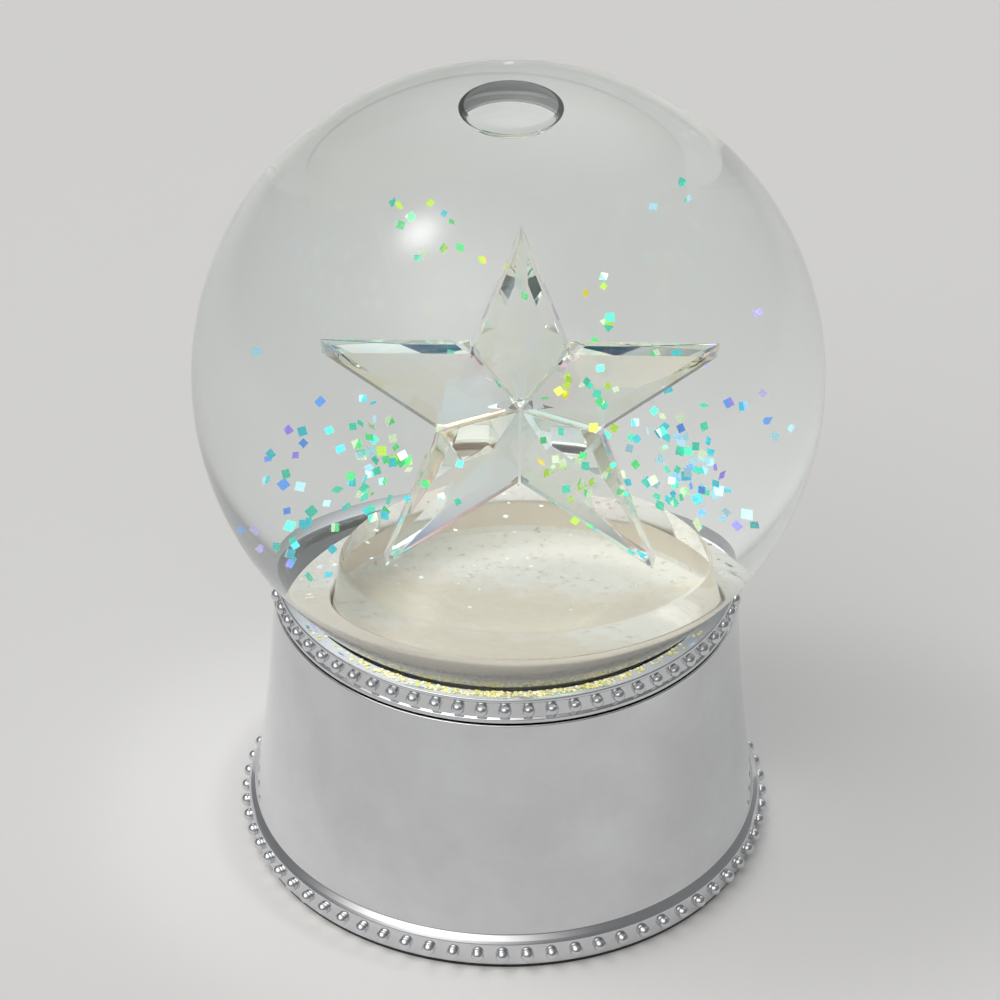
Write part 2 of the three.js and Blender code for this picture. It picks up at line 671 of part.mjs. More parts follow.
// A spur gear's outline. Each tooth is a trapezium, and the first one points along +X.
function gearOutline({ teeth, root, tip }) {
  const pitch = (2 * Math.PI) / teeth;
  const outline = [];
  for (let i = 0; i < teeth; i += 1) {
    const middle = i * pitch;
    outline.push(polar(root, middle - (pitch * TOOTH_ROOT_SHARE) / 2));
    outline.push(polar(tip, middle - (pitch * TOOTH_TIP_SHARE) / 2));
    outline.push(polar(tip, middle + (pitch * TOOTH_TIP_SHARE) / 2));
    outline.push(polar(root, middle + (pitch * TOOTH_ROOT_SHARE) / 2));
  }
  return outline;
}

function gear(size, boreRadius) {
  return prism(gearOutline(size), 0, size.width).subtract(rod(boreRadius, -1, size.width + 1));
}

// Lays a piece built along +Z so that it starts at x and runs along +X at the axle's height.
// A piece turned by a quarter or a half of a tooth about its own axis meshes with its neighbour.
function layAlongX(mesh, x, y = 0, turn = 0) {
  mesh.position.set(x, y, AXLE_Z);
  mesh.rotation.set(0, Math.PI / 2, turn);
}

function boreAlongX(radius, x0, x1, y = 0) {
  const geometry = new THREE.CylinderGeometry(radius, radius, x1 - x0, SHAFT_ROUND);
  geometry.rotateZ(Math.PI / 2);
  geometry.translate((x0 + x1) / 2, y, AXLE_Z);
  return solidOf(geometry);
}

// The cast bed, with two posts for the cylinder's axle and a block for the comb.
function bedplate() {
  const rooted = BED_TOP_Z - 0.5;
  const combBlockTop = AXLE_Z - COMB_THICKNESS / 2 - GAP;
  const parts = [
    prism(BED_OUTLINE, BED_Z, BED_TOP_Z),
    ...AXLE_POSTS.map((post) => block(...post, rooted, POST_TOP_Z)),
    block(...COMB_BLOCK, rooted, combBlockTop),
  ];
  return cutFrom(joined(parts), [
    rod(ARBOR_RADIUS + RUNNING_FIT, BED_Z - 1, BED_TOP_Z + 1, KEY_X, 0, SHAFT_ROUND),
    boreAlongX(AXLE_RADIUS + RUNNING_FIT, AXLE_START_X, AXLE_END_X),
    ...holes(MOVEMENT_SCREW_SPOTS, MOVEMENT_SCREW, BED_Z - 1, BED_TOP_Z + 1),
    ...holes(COMB_SCREW_SPOTS, COMB_SCREW, combBlockTop - COMB_SCREW.length, combBlockTop + 1),
    ...holes(GOVERNOR_SCREW_SPOTS, GOVERNOR_SCREW, BED_Z - 1, BED_TOP_Z + 1),
  ]);
}

// A drawn cup over the mainspring, open below, with a hole for the arbor.
function springBarrel() {
  const bottom = BED_TOP_Z + GAP;
  const bore = ARBOR_RADIUS + 2 * RUNNING_FIT;
  const inner = BARREL_RADIUS - BARREL_WALL;
  return turned([
    [inner, bottom],
    [BARREL_RADIUS, bottom],
    [BARREL_RADIUS, BARREL_TOP_Z - BARREL_ROUND],
    [BARREL_RADIUS - BARREL_ROUND, BARREL_TOP_Z],
    [bore, BARREL_TOP_Z],
    [bore, BARREL_TOP_Z - BARREL_WALL],
    [inner, BARREL_TOP_Z - BARREL_WALL],
    [inner, bottom],
  ], SHAFT_ROUND);
}

// A flat strip wound in a spiral between the arbor's collar and the barrel's wall.
function mainspring() {
  const steps = SPRING_TURNS * 14;
  const innerRadius = ARBOR_COLLAR_RADIUS + 0.4;
  const outerRadius = BARREL_RADIUS - BARREL_WALL - 0.8;
  const side = (offset) => {
    const points = [];
    for (let i = 0; i <= steps; i += 1) {
      const share = i / steps;
      const radius = innerRadius + (outerRadius - innerRadius) * share + offset;
      points.push(polar(radius, 2 * Math.PI * SPRING_TURNS * share));
    }
    return points;
  };
  return prism([...side(0), ...side(SPRING_STRIP).reverse()], SPRING_BOTTOM_Z, SPRING_TOP_Z);
}

// Crown teeth stand up from the rim. A gap faces +X, where the pinion's tooth drops in.
function greatWheel() {
  const pitch = (2 * Math.PI) / GREAT_WHEEL.teeth;
  const halfRoot = (pitch * GREAT_WHEEL.pitch) / 4;
  const halfTip = halfRoot * TOOTH_ROOT_SHARE;
  const top = GREAT_WHEEL_Z + GREAT_WHEEL.width;
  const toothEnd = GREAT_WHEEL.pitch + CROWN_TOOTH_LENGTH / 2;
  const disc = ring(ARBOR_RADIUS + RUNNING_FIT, toothEnd + GAP / 2, GREAT_WHEEL_Z, top, SHAFT_ROUND);
  const outline = [
    [-halfRoot, -GREAT_WHEEL.width / 2],
    [halfRoot, -GREAT_WHEEL.width / 2],
    [halfTip, CROWN_TOOTH_HEIGHT],
    [-halfTip, CROWN_TOOTH_HEIGHT],
  ];
  const teeth = [];
  for (let i = 0; i < GREAT_WHEEL.teeth; i += 1) {
    const tooth = geometryOf(prism(outline, 0, CROWN_TOOTH_LENGTH));
    tooth.rotateX(Math.PI / 2);
    tooth.translate(0, toothEnd, top);
    tooth.rotateZ((i + 0.5) * pitch - Math.PI / 2);
    teeth.push(solidOf(tooth));
  }
  return joined([disc, ...teeth]);
}

// The drum carries pins in a pattern of its own, one row around it for each comb tooth.
function pinCylinder() {
  const pins = [];
  for (let row = 0; row < COMB_TEETH; row += 1) {
    const pin = new THREE.BoxGeometry(PIN_HEIGHT * 2, PIN_WIDTH, PIN_WIDTH);
    pin.translate(DRUM_RADIUS, 0, 0);
    pin.rotateZ((2 * Math.PI * ((row * PIN_STRIDE) % PIN_STEPS)) / PIN_STEPS);
    pin.translate(0, 0, DRUM_MARGIN + COMB_PITCH * (row + 0.5));
    pins.push(solidOf(pin));
  }
  const drum = ring(AXLE_RADIUS + GAP, DRUM_RADIUS, 0, DRUM_END_X - DRUM_START_X, SHAFT_ROUND);
  return joined([drum, ...pins]);
}

// A steel plate with a row of tuned teeth that end just short of the drum's pins.
function comb() {
  const outline = [[COMB_START_X, COMB_BACK_Y]];
  for (let i = 0; i < COMB_TEETH; i += 1) {
    const left = COMB_START_X + COMB_PITCH * i + COMB_SLIT / 2;
    const right = left + COMB_PITCH - COMB_SLIT;
    const root = COMB_ROOT_Y + COMB_ROOT_STEP * (1 - i / COMB_TEETH);
    outline.push([left, root], [left, COMB_TIP_Y], [right, COMB_TIP_Y], [right, root]);
  }
  outline.push([COMB_START_X + COMB_PITCH * COMB_TEETH, COMB_BACK_Y]);
  const bottom = AXLE_Z - COMB_THICKNESS / 2;
  const top = bottom + COMB_THICKNESS;
  return cutFrom(prism(outline, bottom, top), holes(COMB_SCREW_SPOTS, COMB_SCREW, bottom - 1, top + 1));
}

// A small cast frame that carries the two shafts of the speed governor.
function governorFrame() {
  const bottom = BED_TOP_Z + GAP;
  const footTop = bottom + FRAME_FOOT_THICKNESS;
  const bearing = TRAIN_SHAFT_RADIUS + RUNNING_FIT;
  const parts = [
    block(...FRAME_FOOT, bottom, footTop),
    ...FRAME_CHEEKS.map((cheek) => block(...cheek, bottom, FRAME_CHEEK_TOP_Z)),
    block(...FRAME_POST, bottom, FRAME_TOP_Z),
    block(...FRAME_ARM, FRAME_TOP_Z - FRAME_ARM_THICKNESS, FRAME_TOP_Z),
  ];
  return cutFrom(joined(parts), [
    boreAlongX(bearing, FRAME_FOOT[0], FRAME_FOOT[1], TRAIN_Y),
    rod(bearing, bottom - 1, FRAME_TOP_Z + 1, WORM_X, WORM_Y, SHAFT_ROUND),
    ...holes(GOVERNOR_SCREW_SPOTS, GOVERNOR_SCREW, bottom - 1, footTop + 1),
  ]);
}

// The worm's thread is a radius that rises and falls along a helix. A thread gap faces -Y at mid-height.
function worm() {
  const lead = (2 * Math.PI * WORM_WHEEL.pitch) / WORM_WHEEL.teeth;
  const half = 1.75 * lead;
  const sides = 12;
  const rows = 28;
  const rootRadius = WORM_PITCH_RADIUS - 0.45;
  const threadHeight = 0.8;
  const crestShare = 0.12; // half of the crest's width, as a share of the lead
  const flankShare = 0.18;
  const points = [[0, 0, -half]];
  for (let row = 0; row <= rows; row += 1) {
    const z = -half + (2 * half * row) / rows;
    for (let i = 0; i < sides; i += 1) {
      const angle = (2 * Math.PI * i) / sides - Math.PI / 2;
      const turnShare = z / lead - i / sides + 0.5;
      const fromCrest = Math.abs(turnShare - Math.round(turnShare));
      const rise = THREE.MathUtils.clamp((crestShare + flankShare - fromCrest) / flankShare, 0, 1);
      points.push([...polar(rootRadius + threadHeight * rise, angle), z]);
    }
  }
  points.push([0, 0, half]);
  const last = points.length - 1;
  const faces = [];
  for (let i = 0; i < sides; i += 1) {
    const next = (i + 1) % sides;
    faces.push([0, 1 + next, 1 + i]);
    faces.push([last, 1 + rows * sides + i, 1 + rows * sides + next]);
    for (let row = 0; row < rows; row += 1) {
      const low = 1 + row * sides;
      const high = low + sides;
      faces.push([low + i, low + next, high + next], [low + i, high + next, high + i]);
    }
  }
  const geometry = new THREE.BufferGeometry();
  geometry.setAttribute('position', new THREE.Float32BufferAttribute(points.flat(), 3));
  geometry.setIndex(faces.flat());
  const shaftBottom = BED_TOP_Z + 2 * GAP;
  return solidOf(geometry).add(rod(TRAIN_SHAFT_RADIUS, shaftBottom - AXLE_Z, WORM_SHAFT_TOP_Z - AXLE_Z));
}

// Two flat vanes on a hub. They turn fast and brake on the air.
function governorFan() {
  const vaneStart = FAN_HUB_RADIUS - GAP;
  return joined([
    ring(TRAIN_SHAFT_RADIUS + GAP, FAN_HUB_RADIUS, FAN_BOTTOM_Z, FAN_TOP_Z, SMALL_ROUND),
    block(vaneStart, FAN_RADIUS, -FAN_VANE / 2, FAN_VANE / 2, FAN_BOTTOM_Z, FAN_TOP_Z),
    block(-FAN_RADIUS, -vaneStart, -FAN_VANE / 2, FAN_VANE / 2, FAN_BOTTOM_Z, FAN_TOP_Z),
  ]);
}

// Two rounded wings beside a hub, with a blind hole above for the arbor.
function windingKey() {
  const wings = new THREE.Shape();
  const wingX = KEY_REACH - KEY_WING_RADIUS;
  wings.absarc(wingX, 0, KEY_WING_RADIUS, -Math.PI / 2, Math.PI / 2, false);
  wings.absarc(-wingX, 0, KEY_WING_RADIUS, Math.PI / 2, (3 * Math.PI) / 2, false);
  const plate = new THREE.ExtrudeGeometry(wings, { depth: KEY_PLATE, bevelEnabled: false, curveSegments: 8 });
  plate.translate(0, 0, -KEY_PLATE / 2);
  plate.rotateX(Math.PI / 2);
  plate.scale(1, 1, KEY_WING_HEIGHT / (2 * KEY_WING_RADIUS));
  plate.translate(0, 0, KEY_BOTTOM_Z + KEY_WING_HEIGHT / 2);
  const hub = rod(KEY_HUB_RADIUS, KEY_HUB_BOTTOM_Z, KEY_HUB_TOP_Z, 0, 0, SHAFT_ROUND);
  const bore = rod(ARBOR_RADIUS + GAP, KEY_BORE_Z, KEY_HUB_TOP_Z + 1, 0, 0, SHAFT_ROUND);
  return solidOf(plate).add(hub).subtract(bore);
}

function windingArbor() {
  const shaft = rod(ARBOR_RADIUS, ARBOR_BOTTOM_Z, ARBOR_TOP_Z, 0, 0, SHAFT_ROUND);
  return shaft.add(rod(ARBOR_COLLAR_RADIUS, SPRING_BOTTOM_Z, SPRING_TOP_Z, 0, 0, SHAFT_ROUND));
}

// The shaft starts left of the pinion, which lies in the plane of the cylinder wheel.
function trainPinion() {
  const start = CYLINDER_WHEEL_X - TRAIN_SHAFT_START_X;
  const pinion = prism(gearOutline(TRAIN_PINION), start, start + TRAIN_PINION.width);
  return pinion.add(rod(TRAIN_SHAFT_RADIUS, 0, TRAIN_SHAFT_END_X - TRAIN_SHAFT_START_X));
}

function addMovement() {
  place('movement_bedplate', bedplate(), castZinc);
  const screwZ = COVER_BOTTOM_Z - GAP;
  addScrews(numbered('movement_screw', 3), MOVEMENT_SCREW_SPOTS, screwZ, MOVEMENT_SCREW, true);

  place('spring_barrel', springBarrel(), steel).position.x = KEY_X;
  place('mainspring', mainspring(), springSteel).position.x = KEY_X;
  place('winding_key', windingKey(), brass).position.x = KEY_X;
  place('winding_arbor', windingArbor(), steel).position.x = KEY_X;
  place('great_wheel', greatWheel(), brass).position.x = KEY_X;

  const axleBore = AXLE_RADIUS + GAP;
  const axle = rod(AXLE_RADIUS, 0, AXLE_END_X - AXLE_START_X, 0, 0, SHAFT_ROUND);
  layAlongX(place('cylinder_axle', axle, steel), AXLE_START_X);
  layAlongX(place('drive_pinion', gear(DRIVE_PINION, axleBore), brass), DRIVE_PINION_X);
  layAlongX(place('pin_cylinder', pinCylinder(), brass), DRUM_START_X);
  layAlongX(place('cylinder_wheel', gear(CYLINDER_WHEEL, axleBore), brass), CYLINDER_WHEEL_X, 0, Math.PI / 2);

  place('tone_comb', comb(), springSteel);
  const combTop = AXLE_Z + COMB_THICKNESS / 2;
  addScrews(numbered('comb_screw', 2), COMB_SCREW_SPOTS, combTop + GAP, COMB_SCREW, false);

  place('governor_frame', governorFrame(), castZinc);
  const frameScrewZ = BED_TOP_Z + FRAME_FOOT_THICKNESS + 2 * GAP;
  addScrews(['governor_screw'], GOVERNOR_SCREW_SPOTS, frameScrewZ, GOVERNOR_SCREW, false);

  const halfTooth = Math.PI / TRAIN_PINION.teeth;
  const train = place('train_pinion', trainPinion(), steel);
  layAlongX(train, TRAIN_SHAFT_START_X, TRAIN_Y, Math.PI / 2 + halfTooth);
  const wormWheel = place('worm_wheel', gear(WORM_WHEEL, TRAIN_SHAFT_RADIUS + GAP), brass);
  layAlongX(wormWheel, WORM_X - WORM_WHEEL.width / 2, TRAIN_Y, Math.PI / 2);
  place('governor_worm', worm(), steel).position.set(WORM_X, WORM_Y, AXLE_Z);
  place('governor_fan', governorFan(), whitePlastic).position.set(WORM_X, WORM_Y, 0);
}

addGlobe();
addBase();
addMovement();

export default object;
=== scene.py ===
"""The looks of a musical water globe: a crystal star in a filled glass ball on a beaded chrome base."""

import math
import random

import bmesh
import bpy
from mathutils import Euler, Matrix, Vector


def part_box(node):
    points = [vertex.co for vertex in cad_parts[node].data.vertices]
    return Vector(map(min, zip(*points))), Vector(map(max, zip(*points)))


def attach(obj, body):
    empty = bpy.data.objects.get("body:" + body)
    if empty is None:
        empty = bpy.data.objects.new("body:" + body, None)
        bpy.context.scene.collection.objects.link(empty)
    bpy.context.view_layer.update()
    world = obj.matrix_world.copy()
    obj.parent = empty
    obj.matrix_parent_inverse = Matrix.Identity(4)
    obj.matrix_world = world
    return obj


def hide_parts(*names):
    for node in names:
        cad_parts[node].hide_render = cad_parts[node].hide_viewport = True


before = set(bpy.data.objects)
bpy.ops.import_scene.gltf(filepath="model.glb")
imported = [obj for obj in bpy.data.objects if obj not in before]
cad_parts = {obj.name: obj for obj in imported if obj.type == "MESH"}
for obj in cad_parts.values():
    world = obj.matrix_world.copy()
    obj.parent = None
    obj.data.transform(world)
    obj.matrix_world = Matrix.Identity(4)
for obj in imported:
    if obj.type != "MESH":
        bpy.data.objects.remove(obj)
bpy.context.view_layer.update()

MM = 0.001
SIDES = 192  # around the pieces that show
INNER_SIDES = 96  # around the small or half hidden ones
SHARP = math.radians(38)  # faces that meet at more than this keep a crease
AIR_IOR = 1.0
LIQUID_IOR = 1.333
GLASS_IOR = 1.5
ACRYLIC_IOR = 1.49
CRYSTAL_IOR = 1.57


# ---------------------------------------------------------------- places and sizes from the frame

def low(node):
    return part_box(node)[0]


def high(node):
    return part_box(node)[1]


def middle(node):
    return (low(node) + high(node)) / 2


def half_width(node):
    return (high(node).x - low(node).x) / 2


BALL_RADIUS = half_width("glass_globe")
BALL_CENTRE = Vector((0, 0, high("glass_globe").z - BALL_RADIUS))
GLASS_WALL = 2 * MM
NECK_RADIUS = 31 * MM
FILM = 0.05 * MM  # between the liquid and the glass, so that their surfaces don't coincide
LIQUID_RADIUS = BALL_RADIUS - GLASS_WALL - FILM
BUBBLE_RADIUS = 7.7 * MM
BUBBLE_CONTACT_RADIUS = 7.0 * MM
BUBBLE_DEPTH = 2.7 * MM

SLEEVE_TOP_RADIUS = 38.1 * MM
SLEEVE_FOOT_RADIUS = 41.9 * MM
SLEEVE_FOOT_Z = 6 * MM
SLEEVE_TOP_Z = high("base_shell").z
SLEEVE_FLARE_POWER = 1.5
SHELL_WALL = 1.8 * MM
FOOT_BAND_RADIUS = 43.2 * MM
FOOT_BEADS = 68
FOOT_BEAD_RING_RADIUS = 43.5 * MM
FOOT_BEAD_Z = 3 * MM
COLLAR_BAND_RADIUS = 37.5 * MM
COLLAR_LIP_RADIUS = 37.9 * MM
COLLAR_BORE_RADIUS = 35.3 * MM
COLLAR_BEADS = 64
COLLAR_BEAD_RING_RADIUS = 37.7 * MM
COLLAR_BEAD_Z = 48 * MM
BEAD_RADIUS = 1.14 * MM


# ---------------------------------------------------------------- materials

class Finish:
    """A Principled material with its textures in object space, in metres."""

    def __init__(self, name, colour, roughness, metallic=0.0, **sockets):
        self.material = bpy.data.materials.new(name)
        self.material.use_nodes = True
        self.tree = self.material.node_tree
        self.shader = self.tree.nodes["Principled BSDF"]
        self.place = self.node("ShaderNodeTexCoord").outputs["Object"]
        self.set("Base Color", (*colour, 1.0))
        self.set("Roughness", roughness)
        self.set("Metallic", metallic)
        for socket, value in sockets.items():
            self.set(socket.replace("_", " "), value)

    def node(self, kind, **inputs):
        made = self.tree.nodes.new(kind)
        for name, value in inputs.items():
            socket = made.inputs[name.replace("_", " ")]
            if isinstance(value, bpy.types.NodeSocket):
                self.tree.links.new(value, socket)
            else:
                socket.default_value = value
        return made

    def set(self, socket, value):
        if isinstance(value, bpy.types.NodeSocket):
            self.tree.links.new(value, self.shader.inputs[socket])
        else:
            self.shader.inputs[socket].default_value = value

    def stretched(self, across):
        """Object space scaled by (x, y, z), so that a pattern runs along the axis with the small value."""
        return self.node("ShaderNodeMapping", Vector=self.place, Scale=across).outputs["Vector"]

    def noise(self, size, detail=3.0, rough=0.55, place=None):
        return self.node("ShaderNodeTexNoise", Vector=place or self.place, Scale=1 / size, Detail=detail,
                         Roughness=rough).outputs["Fac"]

    def cells(self, size, output="Distance"):
        return self.node("ShaderNodeTexVoronoi", Vector=self.place, Scale=1 / size).outputs[output]

    def ramp(self, value, *stops):
        """Colours along a value. A stop is (place, colour), where the colour is three numbers or a grey."""
        made = self.node("ShaderNodeValToRGB", Fac=value)
        elements = made.color_ramp.elements
        while len(elements) < len(stops):
            elements.new(1.0)
        for element, (place, colour) in zip(elements, stops):
            element.position = place
            element.color = (*colour, 1.0) if isinstance(colour, tuple) else (colour, colour, colour, 1.0)
        return made.outputs["Color"]

    def spread(self, value, lowest, highest, start=0.3, end=0.7):
        """A value between lowest and highest, as the given one goes from start to end."""
        made = self.node("ShaderNodeMapRange", Value=value)
        made.inputs["From Min"].default_value = start
        made.inputs["From Max"].default_value = end
        made.inputs["To Min"].default_value = lowest
        made.inputs["To Max"].default_value = highest
        return made.outputs["Result"]

    def bump(self, height, depth, strength=1.0, under=None):
        made = self.node("ShaderNodeBump", Height=height, Distance=depth, Strength=strength)
        if under is not None:
            self.tree.links.new(under, made.inputs["Normal"])
        return made.outputs["Normal"]


def clear(name, colour, ior, smudge_size, smudged, **sockets):
    """Clear and polished, with faint smudges that dull it and a trace of waviness."""
    made = Finish(name, colour, 0.0, IOR=ior, Transmission_Weight=1.0, **sockets)
    smudges = made.noise(smudge_size, detail=5.0, rough=0.7)
    made.set("Roughness", made.spread(smudges, 0.0, smudged, 0.52, 0.78))
    tint = tuple(part * 0.985 for part in colour)
    made.set("Base Color", made.ramp(smudges, (0.35, tint), (0.65, colour)))
    return made


def liquid_material(name, ior):
    made = Finish(name, (0.985, 0.995, 0.99), 0.0, IOR=ior, Transmission_Weight=1.0)
    drift = made.noise(18 * MM, detail=1.0)
    made.set("Base Color", made.ramp(drift, (0.3, (0.975, 0.992, 0.985)), (0.7, (0.99, 0.997, 0.995))))
    return made.material


def glass_material(name, ior):
    made = clear(name, (0.985, 0.995, 0.99), ior, 14 * MM, 0.03)
    made.set("Normal", made.bump(made.noise(22 * MM, detail=1.0), 0.03 * MM, 0.4))
    return made.material


def crystal_material():
    """Cut crystal with a thin-film coat, whose faint green, gold and violet sheen is also painted into its
    colour.
    """
    made = clear("crystal", (0.97, 0.99, 0.98), CRYSTAL_IOR / LIQUID_IOR, 5 * MM, 0.02)
    made.set("Thin Film Thickness", 480.0)
    made.set("Thin Film IOR", 1.5)
    green, pale, gold, violet = (0.90, 1.0, 0.92), (0.98, 1.0, 0.97), (1.0, 1.0, 0.90), (0.97, 0.96, 1.0)
    # painted sheen: tints of the coat's coloured reflections, drifting through the crystal's colour
    drift = made.noise(11 * MM, detail=1.0)
    made.set("Base Color", made.ramp(drift, (0.3, green), (0.45, pale), (0.55, gold), (0.7, violet)))
    return made.material


def acrylic_material():
    made = clear("clear_acrylic", (0.985, 0.985, 0.975), ACRYLIC_IOR / LIQUID_IOR, 3 * MM, 0.05)
    made.set("Normal", made.bump(made.noise(0.8 * MM, detail=4.0), 0.01 * MM, 0.3))
    return made.material


def snow_material():
    """White and grainy behind, cream and smooth towards the front, with specks where the grains clump. The
    cream at the front is painted warm shade.
    """
    made = Finish("snow", (0.90, 0.88, 0.84), 0.75)
    patches = made.noise(7 * MM, detail=4.0)
    grains = made.cells(0.5 * MM)
    specks = made.noise(0.9 * MM, detail=5.0, rough=0.7)
    split = made.node("ShaderNodeSeparateXYZ", Vector=made.place).outputs["Y"]
    shifted = made.node("ShaderNodeMath", Value=split)
    shifted.operation = "ADD"
    made.tree.links.new(made.spread(patches, -5 * MM, 5 * MM), shifted.inputs[1])
    # behind: where the painted warm shade at the front gives way to the white snow
    behind = made.spread(shifted.outputs["Value"], 0.0, 1.0, 4 * MM, 10 * MM)
    speck, grain, highlight = (0.66, 0.58, 0.46), (0.92, 0.90, 0.86), (0.97, 0.96, 0.94)
    white = made.ramp(specks, (0.30, speck), (0.42, grain), (0.8, highlight))
    # cream: painted warm shade, laid over the front of the bed
    cream = made.ramp(specks, (0.35, (0.84, 0.76, 0.64)), (0.65, (0.88, 0.81, 0.70)))
    blend = made.node("ShaderNodeMix")
    blend.data_type = "RGBA"
    made.tree.links.new(behind, blend.inputs["Factor"])
    made.tree.links.new(cream, blend.inputs[6])
    made.tree.links.new(white, blend.inputs[7])
    made.set("Base Color", blend.outputs[2])
    made.set("Roughness", made.spread(grains, 0.5, 0.85, 0.1, 0.6))
    made.set("Normal", made.bump(grains, 0.08 * MM, 0.5, made.bump(specks, 0.1 * MM, 0.5)))
    return made.material


def glue_material():
    """The cream coat around the glued edge of the plinth, brushed on and a little streaky."""
    made = Finish("glue", (0.86, 0.79, 0.68), 0.6)
    streaks = made.noise(4 * MM, detail=4.0, place=made.stretched((1.0, 1.0, 0.3)))
    made.set("Base Color", made.ramp(streaks, (0.35, (0.84, 0.76, 0.65)), (0.65, (0.90, 0.84, 0.75))))
    made.set("Roughness", made.spread(streaks, 0.5, 0.7))
    made.set("Normal", made.bump(streaks, 0.05 * MM, 0.4))
    return made.material


def chrome_material():
    """Bright plating: faintly wavy, with finger marks and fine hair scratches that dull it."""
    made = Finish("chrome", (0.70, 0.71, 0.73), 0.06, 1.0)
    marks = made.noise(16 * MM, detail=6.0, rough=0.65)
    hairs = made.noise(0.6 * MM, detail=2.0, place=made.stretched((1.0, 1.0, 0.08)))
    dulled = made.node("ShaderNodeMath", Value=made.spread(marks, 0.04, 0.12, 0.45, 0.72))
    dulled.operation = "ADD"
    made.tree.links.new(made.spread(hairs, 0.0, 0.05, 0.55, 0.75), dulled.inputs[1])
    made.set("Roughness", dulled.outputs["Value"])
    made.set("Base Color", made.ramp(marks, (0.35, (0.73, 0.74, 0.76)), (0.7, (0.65, 0.655, 0.67))))
    wavy = made.bump(made.noise(9 * MM, detail=2.0), 0.05 * MM, 0.5)
    made.set("Normal", made.bump(made.noise(1.1 * MM, detail=2.0), 0.006 * MM, 0.5, wavy))
    return made.material


def metal_material(name, dark, bright, roughness, across=(1.0, 1.0, 1.0), size=0.5 * MM):
    """Machined metal, with its lines along the axis that across makes long and tarnish in patches."""
    made = Finish(name, bright, roughness, 1.0)
    lines = made.noise(size, detail=3.0, place=made.stretched(across))
    tarnish = made.noise(5 * MM, detail=5.0)
    made.set("Base Color", made.ramp(tarnish, (0.35, dark), (0.65, bright)))
    made.set("Roughness", made.spread(lines, roughness * 0.7, roughness * 1.5))
    made.set("Normal", made.bump(lines, 0.02 * MM, 0.5))
    return made.material


def moulded_material(name, dark, light, roughness, grain=0.35 * MM, depth=0.02 * MM, **sockets):
    """Moulded plastic or rubber: a fine spark-eroded grain, and scuffs that polish it."""
    made = Finish(name, light, roughness, **sockets)
    texture = made.noise(grain, detail=3.0)
    scuffs = made.noise(7 * MM, detail=6.0, rough=0.7)
    made.set("Base Color", made.ramp(scuffs, (0.35, dark), (0.6, light)))
    made.set("Roughness", made.spread(scuffs, roughness * 1.1, roughness * 0.75, 0.4, 0.75))
    made.set("Normal", made.bump(texture, depth, 0.8))
    return made.material


def felt_material():
    """Pressed wool: short crossed fibres and a soft sheen."""
    made = Finish("felt", (0.02, 0.02, 0.022), 0.95, Sheen_Weight=0.6, Sheen_Roughness=0.4)
    along_x = made.noise(0.25 * MM, detail=4.0, place=made.stretched((0.25, 1.0, 1.0)))
    along_y = made.noise(0.25 * MM, detail=4.0, place=made.stretched((1.0, 0.25, 1.0)))
    larger = made.node("ShaderNodeMath", Value=along_x)
    larger.operation = "MAXIMUM"
    made.tree.links.new(along_y, larger.inputs[1])
    fibres = larger.outputs["Value"]
    made.set("Base Color", made.ramp(fibres, (0.4, (0.008, 0.008, 0.009)), (0.75, (0.05, 0.05, 0.055))))
    made.set("Normal", made.bump(fibres, 0.15 * MM, 0.9))
    return made.material


def glitter_material(name, glow, *colours):
    """Foil flakes. The colours run outwards from the globe's axis, but for a chance of each flake's own."""
    made = Finish(name, colours[0], 0.22, 1.0)
    own = made.node("ShaderNodeNewGeometry").outputs["Random Per Island"]
    flat = made.node("ShaderNodeVectorMath", Vector=made.place)
    flat.operation = "MULTIPLY"
    flat.inputs[1].default_value = (1.0, 1.0, 0.0)
    out = made.node("ShaderNodeVectorMath", Vector=flat.outputs["Vector"])
    out.operation = "LENGTH"
    shift = made.node("ShaderNodeMath", Value=made.spread(out.outputs["Value"], 0.0, 0.7, 7 * MM, 30 * MM))
    shift.operation = "ADD"
    made.tree.links.new(made.spread(own, -0.1, 0.35, 0.0, 1.0), shift.inputs[1])
    stops = [(i / len(colours), tone) for i, tone in enumerate(colours)]
    colour = made.ramp(shift.outputs["Value"], *stops)
    made.tree.nodes[-1].color_ramp.interpolation = "CONSTANT"
    made.set("Base Color", colour)
    made.set("Roughness", made.spread(made.noise(0.3 * MM), 0.15, 0.35))
    # painted glint: each flake glows in its own colour, though no lamp is in it
    made.set("Emission Color", colour)
    made.set("Emission Strength", glow)
    return made.material


FOIL_COLOURS = (
    (0.90, 0.78, 0.08), (0.55, 0.85, 0.12), (0.14, 0.75, 0.28), (0.70, 0.85, 0.60), (0.12, 0.70, 0.50),
    (0.10, 0.62, 0.72), (0.45, 0.75, 0.85), (0.16, 0.38, 0.90), (0.36, 0.30, 0.90), (0.60, 0.55, 0.92),
)
PEARL_COLOURS = (
    (0.98, 0.97, 0.93), (0.93, 0.97, 0.98), (0.99, 0.93, 0.86), (0.93, 0.90, 0.98), (0.90, 0.98, 0.92),
)
GOLD_COLOURS = (
    (0.60, 0.78, 0.42), (0.88, 0.60, 0.30), (0.90, 0.76, 0.30), (0.96, 0.88, 0.62), (0.80, 0.74, 0.28),
)


